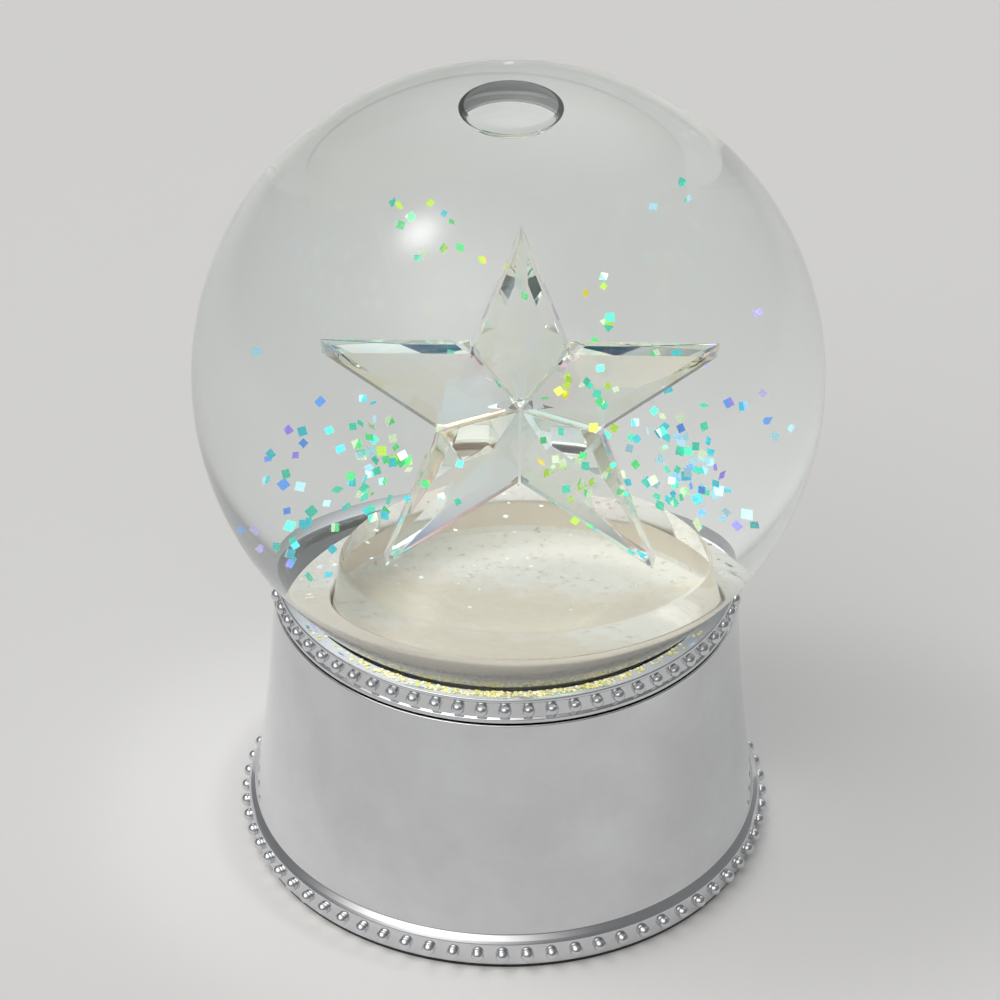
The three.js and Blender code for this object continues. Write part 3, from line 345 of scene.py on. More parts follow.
def make_materials():
    """Every material by the name that the pieces use."""
    black, worn_black = (0.012, 0.012, 0.013), (0.025, 0.025, 0.027)
    dull_zinc, zinc = (0.33, 0.33, 0.34), (0.50, 0.50, 0.51)
    dull_steel, bright_steel = (0.48, 0.48, 0.49), (0.66, 0.66, 0.67)
    blued, spring = (0.22, 0.23, 0.26), (0.40, 0.41, 0.44)
    dull_brass, bright_brass = (0.52, 0.36, 0.14), (0.80, 0.60, 0.27)
    return {
        "glass": glass_material("globe_glass", GLASS_IOR),
        "glass_wet": glass_material("globe_glass_wet", GLASS_IOR / LIQUID_IOR),
        "liquid": liquid_material("liquid", AIR_IOR),
        "liquid_face": liquid_material("liquid_face", LIQUID_IOR),
        "crystal": crystal_material(),
        "acrylic": acrylic_material(),
        "snow": snow_material(),
        "glue": glue_material(),
        "chrome": chrome_material(),
        "white_rubber": moulded_material("white_rubber", (0.62, 0.60, 0.56), (0.74, 0.72, 0.68), 0.75),
        "black_rubber": moulded_material("black_rubber", black, worn_black, 0.65),
        "white_plastic": moulded_material("white_plastic", (0.62, 0.61, 0.58), (0.74, 0.73, 0.70), 0.45),
        "felt": felt_material(),
        "cast_zinc": metal_material("cast_zinc", dull_zinc, zinc, 0.42, size=0.8 * MM),
        "steel": metal_material("steel", dull_steel, bright_steel, 0.26, (1.0, 1.0, 0.1)),
        "spring_steel": metal_material("spring_steel", blued, spring, 0.32, (1.0, 0.08, 1.0)),
        "brass": metal_material("brass", dull_brass, bright_brass, 0.26, (0.12, 1.0, 1.0)),
        # the number after each name is the strength of the flakes' painted glint
        "foil": glitter_material("glitter_foil", 0.5, *FOIL_COLOURS),
        "pearl": glitter_material("glitter_pearl", 0.2, *PEARL_COLOURS),
        "gold": glitter_material("glitter_gold", 0.3, *GOLD_COLOURS),
    }


MATERIALS = make_materials()


# ---------------------------------------------------------------- mesh helpers

def piece(name, mesh, body, slot, *nodes):
    """Adds a mesh as a piece that rides on a body and stands for CAD nodes, which it hides. The slot is not
    used.
    """
    made = bpy.data.objects.new(name, mesh)
    bpy.context.scene.collection.objects.link(made)
    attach(made, body)
    if nodes:
        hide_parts(*nodes)
    return made


def finished_mesh(name, shape, *materials, smooth=True):
    """A bmesh as a mesh with faces out, smooth but for its creases."""
    bmesh.ops.recalc_face_normals(shape, faces=shape.faces)
    mesh = bpy.data.meshes.new(name)
    shape.to_mesh(mesh)
    shape.free()
    for material in materials:
        mesh.materials.append(MATERIALS[material])
    if smooth:
        mesh.shade_smooth()
        mesh.set_sharp_from_angle(angle=SHARP)
    return mesh


def arc(radius, centre_z, start, end, steps):
    """Points of a circle in (radius, height), from one angle above the horizontal to another."""
    points = []
    for i in range(steps + 1):
        angle = start + (end - start) * i / steps
        points.append((max(0.0, radius * math.cos(angle)), centre_z + radius * math.sin(angle)))
    return points


def filleted(*corners, steps=5):
    """The (radius, height) points of an outline, whose corners are given as (radius, height, fillet)."""
    points = []
    for i, (radius, height, fillet) in enumerate(corners):
        corner = Vector((radius, height))
        if not fillet:
            points.append((radius, height))
            continue
        before = Vector(corners[i - 1][:2]) - corner
        after = Vector(corners[(i + 1) % len(corners)][:2]) - corner
        cut = min(fillet / math.tan(before.angle(after) / 2), before.length * 0.49, after.length * 0.49)
        start, end = corner + before.normalized() * cut, corner + after.normalized() * cut
        for step in range(steps + 1):
            t = step / steps
            points.append(tuple(start * (1 - t) ** 2 + corner * 2 * t * (1 - t) + end * t ** 2))
    return points


def turned(shape, bands, sides=SIDES, x=0.0, closed=False):
    """Turns bands of (radius, height) points, each with its material's number, about an axis at x."""
    outline = [(point, number) for number, points in bands for point in points]
    rings = []
    for (radius, height), _ in outline:
        if radius < 0.001 * MM:
            rings.append([shape.verts.new((x, 0, height))] * sides)
            continue
        ring = []
        for i in range(sides):
            angle = 2 * math.pi * i / sides
            ring.append(shape.verts.new((x + radius * math.cos(angle), radius * math.sin(angle), height)))
        rings.append(ring)
    last = len(rings) if closed else len(rings) - 1
    for row in range(last):
        below, above = rings[row], rings[(row + 1) % len(rings)]
        for i in range(sides):
            j = (i + 1) % sides
            corners = dict.fromkeys((below[i], below[j], above[j], above[i]))
            if len(corners) > 2:
                shape.faces.new(corners).material_index = outline[row][1]


def turned_piece(name, points, body, slot, *nodes, material=None, sides=SIDES, x=0.0, closed=True):
    shape = bmesh.new()
    turned(shape, [(0, points)], sides, x, closed)
    return piece(name, finished_mesh(name, shape, material or slot), body, slot, *nodes)


def sleeve_radius(z):
    share = max(0.0, (SLEEVE_TOP_Z - z) / (SLEEVE_TOP_Z - SLEEVE_FOOT_Z))
    return SLEEVE_TOP_RADIUS + (SLEEVE_FOOT_RADIUS - SLEEVE_TOP_RADIUS) * share ** SLEEVE_FLARE_POWER


def bead_row(shape, count, ring_radius, z, chance):
    """Adds a row of cast beads, no two quite alike."""
    for i in range(count):
        angle = 2 * math.pi * i / count
        size = BEAD_RADIUS * chance.uniform(0.93, 1.0)
        place = Matrix.Translation((ring_radius * math.cos(angle), ring_radius * math.sin(angle), z))
        squeeze = Matrix.Diagonal([chance.uniform(0.94, 1.0) for _ in "xyz"] + [1])
        bmesh.ops.create_icosphere(shape, subdivisions=3, radius=size, matrix=place @ squeeze)


# ---------------------------------------------------------------- the globe and what is in it

def make_glass():
    """A blown ball with a short neck. Its inside is wet below the bubble, where glass meets liquid."""
    inner_radius, inner_neck = BALL_RADIUS - GLASS_WALL, NECK_RADIUS - GLASS_WALL
    lowest = -math.acos(NECK_RADIUS / BALL_RADIUS)
    inner_lowest = -math.acos(inner_neck / inner_radius)
    bubble_edge = math.acos(BUBBLE_CONTACT_RADIUS / inner_radius)
    bottom = low("glass_globe").z
    rim = filleted((NECK_RADIUS, bottom + 3 * MM, 0), (NECK_RADIUS, bottom, 0.6 * MM),
                   (inner_neck, bottom, 0.6 * MM), (inner_neck, bottom + 3 * MM, 0))
    shape = bmesh.new()
    turned(shape, [
        (0, arc(BALL_RADIUS, BALL_CENTRE.z, math.pi / 2, lowest, 96)),
        (0, rim),
        (1, arc(inner_radius, BALL_CENTRE.z, inner_lowest, bubble_edge, 88)[:-1]),
        (0, arc(inner_radius, BALL_CENTRE.z, bubble_edge, math.pi / 2, 10)),
    ])
    mesh = finished_mesh("glass_ball", shape, "glass", "glass_wet")
    piece("glass_ball", mesh, "base", "globe_glass", "glass_globe")


def make_liquid():
    """Fills the ball down to the stopper. Air is left under the top, in a flat pocket with a round edge."""
    neck = NECK_RADIUS - GLASS_WALL - FILM
    floor = high("rubber_stopper").z + FILM
    lowest = -math.acos(neck / LIQUID_RADIUS)
    edge = math.acos(BUBBLE_CONTACT_RADIUS / LIQUID_RADIUS)
    top = BALL_CENTRE.z + LIQUID_RADIUS * math.sin(edge)
    bottom = top - BUBBLE_DEPTH
    pocket = filleted((0, bottom, 0), (BUBBLE_RADIUS * 0.93, bottom, 1.5 * MM),
                      (BUBBLE_RADIUS * 1.03, top - BUBBLE_DEPTH / 3, 1.2 * MM),
                      (BUBBLE_CONTACT_RADIUS, top, 0), steps=12)
    shape = bmesh.new()
    turned(shape, [
        (1, pocket[:-1]),
        (0, arc(LIQUID_RADIUS, BALL_CENTRE.z, edge, lowest, 88)),
        (0, [(neck, floor), (0, floor)]),
    ])
    mesh = finished_mesh("clear_liquid", shape, "liquid", "liquid_face")
    piece("clear_liquid", mesh, "base", "liquid", "globe_liquid")


def make_snow_bed():
    """A white bed with a round recess that the plinth stands in."""
    x = middle("snow_bed").x
    radius, bottom, top = half_width("snow_bed"), low("snow_bed").z, high("snow_bed").z
    recess_radius, recess = radius - 3.8 * MM, low("star_plinth").z - 0.3 * MM
    points = filleted((0, bottom, 0), (radius, bottom, 0.4 * MM), (radius, top, 0.5 * MM),
                      (recess_radius, top, 0.3 * MM), (recess_radius, recess, 0.3 * MM), (0, recess, 0))
    turned_piece("snow", points, "base", "snow", "snow_bed", x=x, closed=False)


def make_plinth():
    """A thick clear disc. Where it is glued into the bed, its outside is coated white."""
    radius, bottom, top = half_width("star_plinth"), low("star_plinth").z, high("star_plinth").z
    bed_top = high("snow_bed").z
    under = filleted((0, bottom, 0), (radius, bottom, 0.15 * MM), (radius, bottom + MM, 0))
    polished = filleted((radius, bed_top, 0), (radius, top, 0.35 * MM), (0, top, 0))
    shape = bmesh.new()
    turned(shape, [(1, under[:-1]), (2, under[-1:] + [(radius, bed_top - 0.1 * MM)]), (0, polished)],
           x=middle("star_plinth").x)
    mesh = finished_mesh("clear_plinth", shape, "acrylic", "snow", "glue")
    piece("clear_plinth", mesh, "base", "clear_acrylic", "star_plinth")


def make_stopper():
    """The moulded plug that closes the neck, with its flange under the glass."""
    bottom, top = low("rubber_stopper").z, high("rubber_stopper").z
    flange, plug = half_width("rubber_stopper"), NECK_RADIUS - GLASS_WALL - 0.3 * MM
    flange_top = bottom + 1.9 * MM
    points = filleted((0, bottom, 0), (flange, bottom, 0.4 * MM), (flange, flange_top, 0.3 * MM),
                      (plug, flange_top, 0.2 * MM), (plug, top, 0.6 * MM), (0, top, 0))
    turned_piece("stopper", points, "base", "white_rubber", "rubber_stopper",
                 sides=INNER_SIDES, closed=False)


def add_flake(shape, place, size, turn):
    """One foil square, with its edge as thick as foil."""
    pose = Matrix.LocRotScale(place, turn, (size, size, FLAKE_THICKNESS))
    bmesh.ops.create_cube(shape, size=1.0, matrix=pose)


def in_open_liquid(place):
    """True clear of the glass, the star, the plinth and the bed."""
    star = middle("star_arm_1").x
    across = Vector((place.x - star, place.z - BALL_CENTRE.z)).length
    from_plinth = Vector((place.x - middle("star_plinth").x, place.y)).length
    return (
        (place - BALL_CENTRE).length < LIQUID_RADIUS - 5 * MM
        and not (abs(place.y) < 5 * MM and across < 30 * MM)
        and not (place.z < high("star_plinth").z + 0.8 * MM and from_plinth < 21 * MM)
        and not (place.z < high("snow_bed").z + 0.8 * MM and from_plinth < 25 * MM)
        and place.z > high("rubber_stopper").z + MM
    )


# Drifts of glitter as (flakes, centre from the ball's centre, spread), in millimetres.
DRIFTS = (
    (52, (-14.4, 8, -17.5), (1.9, 2, 4.4)),
    (16, (-23.5, 6, -15.5), (2.0, 2, 3.2)),
    (12, (-20.0, 6, -22.6), (2.4, 2, 1.4)),
    (8, (-25, 5, -23.5), (1.6, 2, 1.2)),
    (9, (-19, 2, -25), (2.4, 1.5, 1)),
    (56, (19.4, 8, -19.2), (2.8, 2, 2.4)),
    (30, (16.5, 8, -13.0), (3.4, 2, 2.4)),
    (15, (9.2, -7.5, 3.2), (2.3, 0.8, 1.8)),
    (24, (8.2, -8.5, -8.6), (3.3, 1.5, 3.8)),
    (8, (-8.8, -8.5, -9), (2.5, 1, 3)),
    (9, (-7.5, 8, 14), (3, 2, 2.5)),
    (3, (-13, 7, 20.5), (1, 1, 1)),
    (8, (10.9, 7.5, 5.2), (1, 1, 2.5)),
    (5, (21, 10, 22), (2, 2, 1.5)),
    (9, (26, 8, -8), (3, 3, 5)),
    (9, (0, 6, 0), (16, 10, 12)),
)
TOWARDS_VIEW = Vector((0, -0.826, 0.564))  # drifting flakes mostly face this way
DRIFTING_SIZE = (0.7, 1.05)  # the flakes' sides in millimetres
FINE_SIZE = (0.2, 0.5)
SEAM_SIZE = (0.25, 0.5)
FLAKE_THICKNESS = 0.03 * MM
SETTLING_TRIES = 520
SEAM_FLAKES = 420


def make_glitter():
    chance = random.Random(7)
    shape = bmesh.new()
    facing = TOWARDS_VIEW.to_track_quat("Z", "Y")
    for count, centre, spread in DRIFTS:
        for _ in range(count):
            offset = Vector([chance.gauss(mean, width) for mean, width in zip(centre, spread)])
            place = BALL_CENTRE + offset * MM
            tilt = Euler((chance.gauss(0, 0.45), chance.gauss(0, 0.45), chance.uniform(0, math.pi)))
            size = chance.uniform(*DRIFTING_SIZE) * MM
            if in_open_liquid(place):
                add_flake(shape, place, size, facing @ tilt.to_quaternion())
    piece("glitter", finished_mesh("glitter", shape, "foil", smooth=False), "base", "snow")


def make_settled_flakes():
    """Fine flakes that have sunk on to the plinth and the rim of the bed, most of them at the back."""
    chance = random.Random(11)
    shape = bmesh.new()
    x = middle("star_plinth").x
    plinth_radius, bed_radius = half_width("star_plinth"), half_width("snow_bed")
    plinth_top, bed_top = high("star_plinth").z, high("snow_bed").z
    for _ in range(SETTLING_TRIES):
        radius = bed_radius * math.sqrt(chance.random()) * 0.98
        angle = chance.uniform(0, 2 * math.pi)
        tilt = Euler((chance.gauss(0, 0.12), chance.gauss(0, 0.12), chance.uniform(0, math.pi)))
        size = chance.uniform(*FINE_SIZE) * MM
        on_plinth = radius < plinth_radius
        density = (0.12 if on_plinth else 0.6) * (1 + math.sin(angle) * radius / bed_radius)
        thins_out = chance.random() > density
        on_edge = abs(radius - plinth_radius) < 1.2 * MM
        if thins_out or on_edge:
            continue
        top = plinth_top if on_plinth else bed_top
        spot = Vector((x + radius * math.cos(angle), radius * math.sin(angle), top + 0.1 * MM))
        add_flake(shape, spot, size, tilt)
    piece("settled_flakes", finished_mesh("settled_flakes", shape, "pearl", smooth=False), "base", "snow")


def make_seam_reflection_flakes():
    """Fine gold flakes on the flat top of the collar, where it meets the front of the globe: a painted
    reflection of the glitter in the collar's edge.
    """
    chance = random.Random(13)
    shape = bmesh.new()
    height = high("top_collar").z + 0.06 * MM
    for _ in range(SEAM_FLAKES):
        radius = chance.uniform(COLLAR_BORE_RADIUS + 0.4 * MM, COLLAR_LIP_RADIUS - 0.9 * MM)
        # bunched towards the front, where the painted reflection shows
        angle = chance.gauss(-math.pi / 2, 0.42)
        tilt = Euler((chance.gauss(0, 0.1), chance.gauss(0, 0.1), chance.uniform(0, math.pi)))
        size = chance.uniform(*SEAM_SIZE) * MM
        spot = Vector((radius * math.cos(angle), radius * math.sin(angle), height))
        add_flake(shape, spot, size, tilt)
    piece("seam_reflection_flakes", finished_mesh("seam_reflection_flakes", shape, "gold", smooth=False), "base", "snow")


# ---------------------------------------------------------------- the base

def make_base_shell():
    """The plated shell: a beaded foot, a gently flared sleeve, and a ledge inside for the deck."""
    bottom = low("base_shell").z
    band_top = bottom + 4.2 * MM
    mouth = 39.5 * MM
    ledge_top, ledge_inner = low("deck_plate").z - 0.3 * MM, 32.4 * MM
    ledge_bottom = ledge_top - 1.6 * MM
    band_inner = FOOT_BAND_RADIUS - 1.9 * MM
    heights = [(SLEEVE_FOOT_Z + (SLEEVE_TOP_Z - SLEEVE_FOOT_Z) * i / 24) for i in range(1, 24)]

    def inner_radius(z):
        return sleeve_radius(z) - SHELL_WALL

    outside = filleted((mouth, bottom, 0.3 * MM), (FOOT_BAND_RADIUS, bottom, 0.5 * MM),
                       (FOOT_BAND_RADIUS, band_top, 0.5 * MM),
                       (SLEEVE_FOOT_RADIUS + 0.9 * MM, band_top + 0.5 * MM, 0.25 * MM),
                       (SLEEVE_FOOT_RADIUS + 0.1 * MM, SLEEVE_FOOT_Z + 0.1 * MM, 0.5 * MM),
                       (sleeve_radius(heights[0]), heights[0], 0))
    sleeve = [(sleeve_radius(z), z) for z in heights[1:-1]]
    top = filleted((sleeve_radius(heights[-1]), heights[-1], 0),
                   (SLEEVE_TOP_RADIUS, SLEEVE_TOP_Z, 0.3 * MM),
                   (SLEEVE_TOP_RADIUS - SHELL_WALL, SLEEVE_TOP_Z, 0.3 * MM),
                   (inner_radius(ledge_top), ledge_top, 0.2 * MM), (ledge_inner, ledge_top, 0.2 * MM),
                   (ledge_inner, ledge_bottom, 0.2 * MM),
                   (inner_radius(ledge_bottom), ledge_bottom, 0.2 * MM))
    inside = [(inner_radius(z), z) for z in reversed(heights[2:]) if z < ledge_bottom - MM]
    foot = filleted((inner_radius(heights[1]), heights[1], 0), (band_inner, bottom + 3 * MM, 0.4 * MM),
                    (band_inner, bottom + SHELL_WALL, 0.3 * MM), (mouth, bottom + SHELL_WALL, 0.3 * MM))
    shape = bmesh.new()
    turned(shape, [(0, outside + sleeve + top + inside + foot)], closed=True)
    bead_row(shape, FOOT_BEADS, FOOT_BEAD_RING_RADIUS, FOOT_BEAD_Z, random.Random(3))
    piece("chrome_shell", finished_mesh("chrome_shell", shape, "chrome"), "base", "chrome", "base_shell")


def make_collar():
    """The ring that holds the globe down: a bead row between two lips, and a spigot inside the sleeve."""
    bottom, top = SLEEVE_TOP_Z + 0.3 * MM, high("top_collar").z
    spigot = low("top_collar").z
    seat = half_width("seat_gasket") + 0.3 * MM
    spigot_outer = SLEEVE_TOP_RADIUS - SHELL_WALL - 0.3 * MM
    points = filleted(
        (seat, spigot, 0.2 * MM), (spigot_outer, spigot, 0.2 * MM), (spigot_outer, bottom, 0),
        (COLLAR_LIP_RADIUS, bottom, 0.25 * MM), (COLLAR_LIP_RADIUS, bottom + 0.7 * MM, 0.3 * MM),
        (COLLAR_BAND_RADIUS, bottom + MM, 0.2 * MM), (COLLAR_BAND_RADIUS, top - 0.9 * MM, 0.2 * MM),
        (COLLAR_LIP_RADIUS, top - 0.55 * MM, 0.25 * MM), (COLLAR_LIP_RADIUS - 0.1 * MM, top, 0.4 * MM),
        (COLLAR_BORE_RADIUS, top, 0.5 * MM), (COLLAR_BORE_RADIUS, top - 0.8 * MM, 0.2 * MM),
        (seat, top - 1.6 * MM, 0.2 * MM))
    shape = bmesh.new()
    turned(shape, [(0, points)], closed=True)
    bead_row(shape, COLLAR_BEADS, COLLAR_BEAD_RING_RADIUS, COLLAR_BEAD_Z, random.Random(5))
    piece("chrome_collar", finished_mesh("chrome_collar", shape, "chrome"), "base", "chrome", "top_collar")


def make_gasket():
    bottom, top = low("seat_gasket").z, high("seat_gasket").z
    inner, outer = NECK_RADIUS + 0.4 * MM, half_width("seat_gasket")
    points = filleted((inner, bottom, 0.3 * MM), (outer, bottom, 0.3 * MM), (outer, top, 0.25 * MM),
                      (inner, top - 2.4 * MM, 0.4 * MM))
    turned_piece("gasket", points, "base", "black_rubber", "seat_gasket")


def make_felt():
    bottom, top = low("felt_ring").z, high("felt_ring").z
    outer, inner = half_width("felt_ring"), half_width("felt_ring") - 3 * MM
    edge = 0.12 * MM
    points = filleted((inner, bottom, edge), (outer, bottom, edge), (outer, top, edge), (inner, top, edge))
    turned_piece("felt_foot", points, "base", "felt", "felt_ring")


def plate(name, outlines, thickness, edge):
    """A flat plate with rounded edges. The first outline is its outside, and any others are holes."""
    curve = bpy.data.curves.new(name, "CURVE")
    curve.dimensions = "2D"
    curve.fill_mode = "BOTH"
    curve.extrude = thickness / 2 - edge
    curve.bevel_depth = edge
    curve.bevel_resolution = 3
    curve.offset = -edge
    for outline in outlines:
        spline = curve.splines.new("POLY")
        spline.points.add(len(outline) - 1)
        spline.use_cyclic_u = True
        for point, (x, y) in zip(spline.points, outline):
            point.co = (x, y, 0, 1)
    holder = bpy.data.objects.new(name, curve)
    bpy.context.scene.collection.objects.link(holder)
    depsgraph = bpy.context.evaluated_depsgraph_get()
    mesh = bpy.data.meshes.new_from_object(holder.evaluated_get(depsgraph))
    bpy.data.objects.remove(holder)
    bpy.data.curves.remove(curve)
    shape = bmesh.new()
    shape.from_mesh(mesh)
    bpy.data.meshes.remove(mesh)
    bmesh.ops.remove_doubles(shape, verts=shape.verts, dist=0.001 * MM)
    return shape


def circle(x, y, radius, sides):
    return [(x + radius * math.cos(2 * math.pi * i / sides), y + radius * math.sin(2 * math.pi * i / sides))
            for i in range(sides)]


COVER_SCREWS = ("cover_screw_1", "cover_screw_2", "cover_screw_3")
MOVEMENT_SCREWS = ("movement_screw_1", "movement_screw_2", "movement_screw_3")


def make_cover():
    """The round plate under the base, with a hole for the key and one for each screw."""
    key = middle("winding_key")
    outlines = [circle(0, 0, half_width("bottom_cover"), SIDES), circle(key.x, key.y, 4.5 * MM, 64)]
    for node in COVER_SCREWS + MOVEMENT_SCREWS:
        outlines.append(circle(middle(node).x, middle(node).y, 1.45 * MM, 32))
    thickness = high("bottom_cover").z - low("bottom_cover").z
    shape = plate("cover_plate", outlines, thickness, 0.25 * MM)
    bmesh.ops.translate(shape, verts=shape.verts, vec=(0, 0, middle("bottom_cover").z))
    mesh = finished_mesh("cover_plate", shape, "white_plastic")
    piece("cover_plate", mesh, "base", "white_plastic", "bottom_cover")


def make_screw(node, shank_radius, head_radius, head_height):
    """A pan head that hangs down, with a slot across it, on a plain shank."""
    place = middle(node)
    bottom, top = low(node).z, high(node).z
    under = bottom + head_height
    points = filleted((0, bottom, 0), (head_radius * 0.75, bottom + 0.05 * MM, 0.3 * MM),
                      (head_radius, under - 0.3 * MM, 0.3 * MM), (head_radius, under, 0.1 * MM),
                      (shank_radius, under, 0), (shank_radius, top, 0.3 * MM), (0, top, 0))
    shape = bmesh.new()
    turned(shape, [(0, points)], 48)
    bmesh.ops.translate(shape, verts=shape.verts, vec=(place.x, place.y, 0))
    screw = piece(node + "_head", finished_mesh(node + "_head", shape, "steel"), "base", "steel", node)
    cutter_shape = bmesh.new()
    slot_size = (head_radius * 3, 0.6 * MM, head_height)
    bmesh.ops.create_cube(cutter_shape, size=1.0, matrix=Matrix.LocRotScale(
        Vector((place.x, place.y, bottom)), Euler((0, 0, place.x * 900)), slot_size))
    cutter_mesh = finished_mesh("slot_cutter", cutter_shape, "steel", smooth=False)
    cutter = bpy.data.objects.new("slot_cutter", cutter_mesh)
    bpy.context.scene.collection.objects.link(cutter)
    cut = screw.modifiers.new("slot", "BOOLEAN")
    cut.object = cutter
    cut.operation = "DIFFERENCE"
    depsgraph = bpy.context.evaluated_depsgraph_get()
    screw.data = bpy.data.meshes.new_from_object(screw.evaluated_get(depsgraph))
    screw.modifiers.clear()
    bpy.data.objects.remove(cutter)
    screw.data.set_sharp_from_angle(angle=SHARP)


def make_key():
    """A pressed brass butterfly on a turned hub."""
    key = middle("winding_key")
    reach, bottom, top = half_width("winding_key"), low("winding_key").z, high("winding_key").z
    hub_radius, wing_height = 3.3 * MM, 5.4 * MM
    outline = []
    for i in range(120):
        angle = 2 * math.pi * i / 120
        across = abs(math.cos(angle))
        waist = 0.62 + 0.38 * min(1.0, (across / 0.75) ** 4)
        wing_tip = math.copysign(reach * across ** 0.55, math.cos(angle))
        outline.append((wing_tip, wing_height / 2 * math.sin(angle) * waist))
    shape = plate("key", [outline], 1.8 * MM, 0.35 * MM)
    bmesh.ops.rotate(shape, verts=shape.verts, matrix=Matrix.Rotation(math.pi / 2, 3, "X"))
    bmesh.ops.translate(shape, verts=shape.verts, vec=(0, 0, bottom + wing_height / 2))
    hub_bottom = bottom + 1.3 * MM
    bore, bore_floor = 2.3 * MM, bottom + 3.5 * MM
    hub = filleted((0, hub_bottom, 0), (hub_radius * 0.8, hub_bottom, 0.3 * MM),
                   (hub_radius, hub_bottom + 0.7 * MM, 0.3 * MM), (hub_radius, top, 0.3 * MM),
                   (bore, top, 0.2 * MM), (bore, bore_floor, 0.1 * MM), (0, bore_floor, 0))
    turned(shape, [(0, hub)], 64)
    bmesh.ops.translate(shape, verts=shape.verts, vec=(key.x, key.y, 0))
    piece("brass_key", finished_mesh("brass_key", shape, "brass"), "winder", "brass", "winding_key")


# ---------------------------------------------------------------- CAD nodes that stay

def edge_softener():
    """A node group that shades a faceted solid smooth between its creases."""
    group = bpy.data.node_groups.new("soft_shading", "GeometryNodeTree")
    group.interface.new_socket("Geometry", in_out="INPUT", socket_type="NodeSocketGeometry")
    group.interface.new_socket("Geometry", in_out="OUTPUT", socket_type="NodeSocketGeometry")
    nodes, links = group.nodes, group.links
    start, end = nodes.new("NodeGroupInput"), nodes.new("NodeGroupOutput")
    angle = nodes.new("GeometryNodeInputMeshEdgeAngle")
    crease = nodes.new("FunctionNodeCompare")
    crease.operation = "LESS_EQUAL"
    crease.inputs["B"].default_value = SHARP
    links.new(angle.outputs["Unsigned Angle"], crease.inputs["A"])
    faces = nodes.new("GeometryNodeSetShadeSmooth")
    edges = nodes.new("GeometryNodeSetShadeSmooth")
    edges.domain = "EDGE"
    links.new(start.outputs["Geometry"], faces.inputs["Geometry"])
    links.new(faces.outputs["Geometry"], edges.inputs["Geometry"])
    links.new(crease.outputs["Result"], edges.inputs["Shade Smooth"])
    links.new(edges.outputs["Geometry"], end.inputs["Geometry"])
    return group


KEPT_NODES = {
    "crystal": [f"star_arm_{i}" for i in range(1, 6)],
    "white_plastic": ["deck_plate", "globe_cradle", "governor_fan"],
    "cast_zinc": ["movement_bedplate", "governor_frame"],
    "steel": ["deck_screw_1", "deck_screw_2", "deck_screw_3", "spring_barrel", "winding_arbor",
              "cylinder_axle", "comb_screw_1", "comb_screw_2", "governor_screw", "train_pinion",
              "governor_worm"],
    "spring_steel": ["mainspring", "tone_comb"],
    "brass": ["great_wheel", "drive_pinion", "pin_cylinder", "cylinder_wheel", "worm_wheel"],
}


def dress_kept_nodes():
    """Gives each CAD node that stays its material, joined corners and a small round on its edges."""
    shading = edge_softener()
    for material, nodes in KEPT_NODES.items():
        for name in nodes:
            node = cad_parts[name]
            for holder in node.material_slots:
                holder.link = "OBJECT"
                holder.material = MATERIALS[material]
            weld = node.modifiers.new("weld", "WELD")
            weld.merge_threshold = 0.001 * MM
            bevel = node.modifiers.new("round", "BEVEL")
            bevel.width = (0.12 if material == "crystal" else 0.08) * MM
            bevel.segments = 2
            bevel.limit_method = "ANGLE"
            bevel.angle_limit = math.radians(30)
            if material != "crystal":
                smooth = node.modifiers.new("shading", "NODES")
                smooth.node_group = shading


# ---------------------------------------------------------------- floor, light and camera

def make_floor():
    made = Finish("studio_floor", (0.80, 0.80, 0.79), 0.9)
    away = made.node("ShaderNodeVectorMath", Vector=made.place)
    away.operation = "LENGTH"
    # pale near the base and darker from about half a metre out: painted falloff of the lamps' light
    painted_falloff = made.spread(away.outputs["Value"], 0.0, 1.0, 0.0, 2.0)
    near, beyond = (0.82, 0.815, 0.80), (0.80, 0.795, 0.785)
    made.set("Base Color", made.ramp(painted_falloff, (0.0, near), (0.22, beyond), (0.6, 0.40), (1.0, 0.37)))
    mesh = bpy.data.meshes.new("floor")
    shape = bmesh.new()
    bmesh.ops.create_circle(shape, cap_ends=True, segments=96, radius=4.0)
    shape.to_mesh(mesh)
    shape.free()
    mesh.materials.append(made.material)
    floor = bpy.data.objects.new("floor", mesh)
    bpy.context.scene.collection.objects.link(floor)


# Soft lights of the studio dome as (direction, tightness, brightness, colour).
SOFT_LIGHTS = (
    ((-0.47, 0.0, 0.88), 150.0, 8.0, (1.0, 1.0, 1.0)),
    ((-0.35, -0.45, 0.85), 9.0, 2.35, (1.0, 0.98, 0.95)),
    ((0.15, 0.75, 0.65), 10.0, 1.1, (0.96, 0.98, 1.0)),
)
DOME_GREY = 0.22
HORIZON_GLOW = 0.10
HORIZON_HEIGHT = 0.12


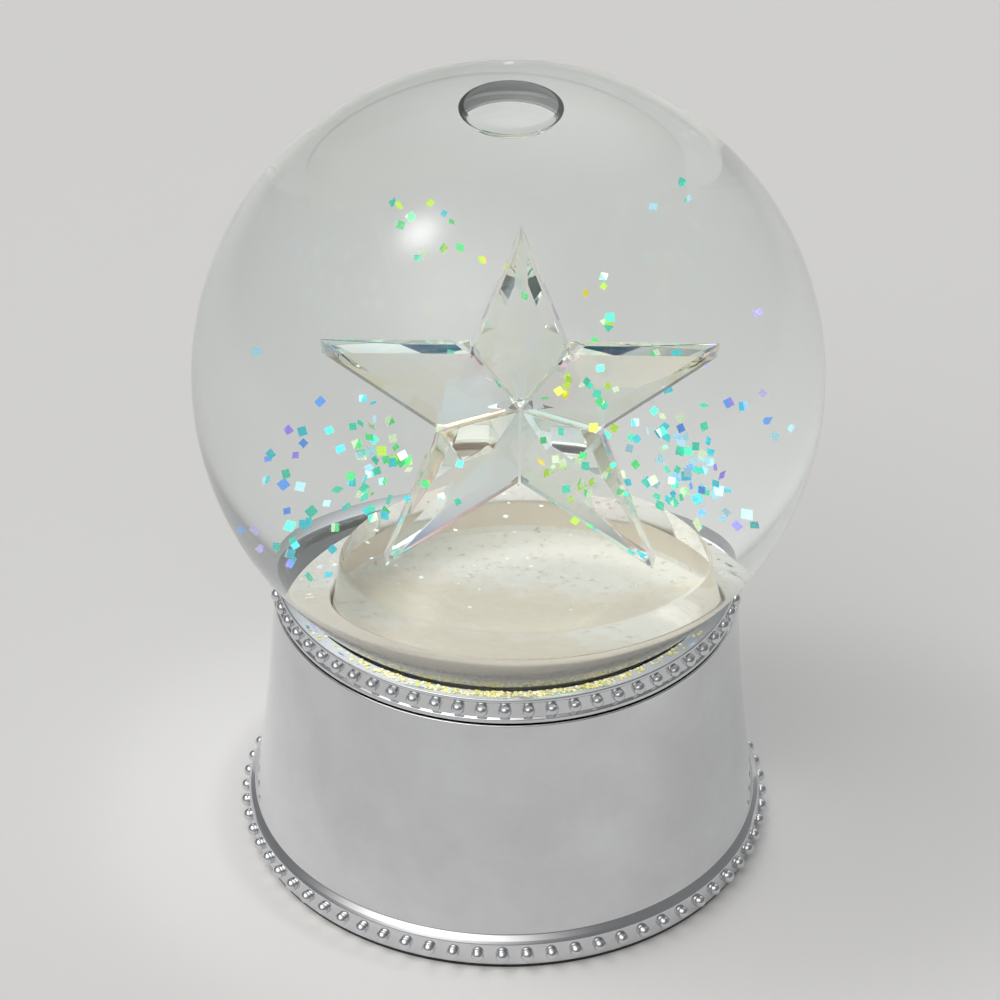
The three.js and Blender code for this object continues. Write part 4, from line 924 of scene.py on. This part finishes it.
def make_lights():
    """A studio dome: grey, paler where it meets the floor, with two broad lights and a tighter one."""
    world = bpy.data.worlds.new("studio")
    bpy.context.scene.world = world
    world.use_nodes = True
    tree = world.node_tree

    def maths(operation, *values, kind="ShaderNodeMath"):
        made = tree.nodes.new(kind)
        made.operation = operation
        for socket, value in zip(made.inputs, values):
            if isinstance(value, bpy.types.NodeSocket):
                tree.links.new(value, socket)
            else:
                socket.default_value = value
        return made

    direction = tree.nodes.new("ShaderNodeTexCoord").outputs["Generated"]
    height = maths("DOT_PRODUCT", direction, (0, 0, 1), kind="ShaderNodeVectorMath").outputs["Value"]
    from_horizon = maths("ABSOLUTE", height).outputs[0]
    fall = maths("EXPONENT", maths("MULTIPLY", from_horizon, -1 / HORIZON_HEIGHT).outputs[0])
    grey = maths("MULTIPLY_ADD", fall.outputs[0], HORIZON_GLOW, DOME_GREY).outputs[0]
    total = maths("SCALE", (0.97, 0.98, 1.0), kind="ShaderNodeVectorMath")
    tree.links.new(grey, total.inputs["Scale"])
    for place, tightness, brightness, colour in SOFT_LIGHTS:
        towards = maths("DOT_PRODUCT", direction, Vector(place).normalized(), kind="ShaderNodeVectorMath")
        facing = maths("MAXIMUM", towards.outputs["Value"], 0.0)
        glow = maths("MULTIPLY", maths("POWER", facing.outputs[0], tightness).outputs[0], brightness)
        lamp = maths("SCALE", colour, kind="ShaderNodeVectorMath")
        tree.links.new(glow.outputs[0], lamp.inputs["Scale"])
        total = maths("ADD", total.outputs["Vector"], lamp.outputs["Vector"], kind="ShaderNodeVectorMath")
    tree.links.new(total.outputs["Vector"], tree.nodes["Background"].inputs["Color"])


def make_camera():
    """The viewing angle is a little over 34 degrees above the floor, from the star's front."""
    right = Vector((0.99995, 0.00726, 0.00749))
    up = Vector((-0.01028, 0.56425, 0.82554))
    back = Vector((0.00177, -0.82557, 0.56430))
    data = bpy.data.cameras.new("camera")
    data.sensor_width = 36
    data.lens = 144.97
    data.clip_start = 0.01
    data.clip_end = 20
    camera = bpy.data.objects.new("camera", data)
    pose = Matrix((right, up, back)).transposed().to_4x4()
    pose.translation = Vector((0, -536.63, 428.83)) * MM
    camera.matrix_world = pose
    bpy.context.scene.collection.objects.link(camera)
    bpy.context.scene.camera = camera


def set_light_paths():
    """Enough bounces to pass the glass, the liquid and the star, both ways."""
    cycles = bpy.context.scene.cycles
    cycles.max_bounces = 20
    cycles.transmission_bounces = 20
    cycles.glossy_bounces = 8
    cycles.diffuse_bounces = 4
    cycles.blur_glossy = 0.0
    bpy.context.scene.view_settings.view_transform = "Standard"


make_camera()
make_floor()
make_lights()
set_light_paths()
make_glass()
make_liquid()
make_snow_bed()
make_plinth()
make_stopper()
make_glitter()
make_settled_flakes()
make_seam_reflection_flakes()
make_base_shell()
make_collar()
make_gasket()
make_felt()
make_cover()
for screw_node in COVER_SCREWS:
    make_screw(screw_node, 1.2 * MM, 2.1 * MM, 1.2 * MM)
for screw_node in MOVEMENT_SCREWS:
    make_screw(screw_node, 1.1 * MM, 2.0 * MM, 1.1 * MM)
make_key()
dress_kept_nodes()
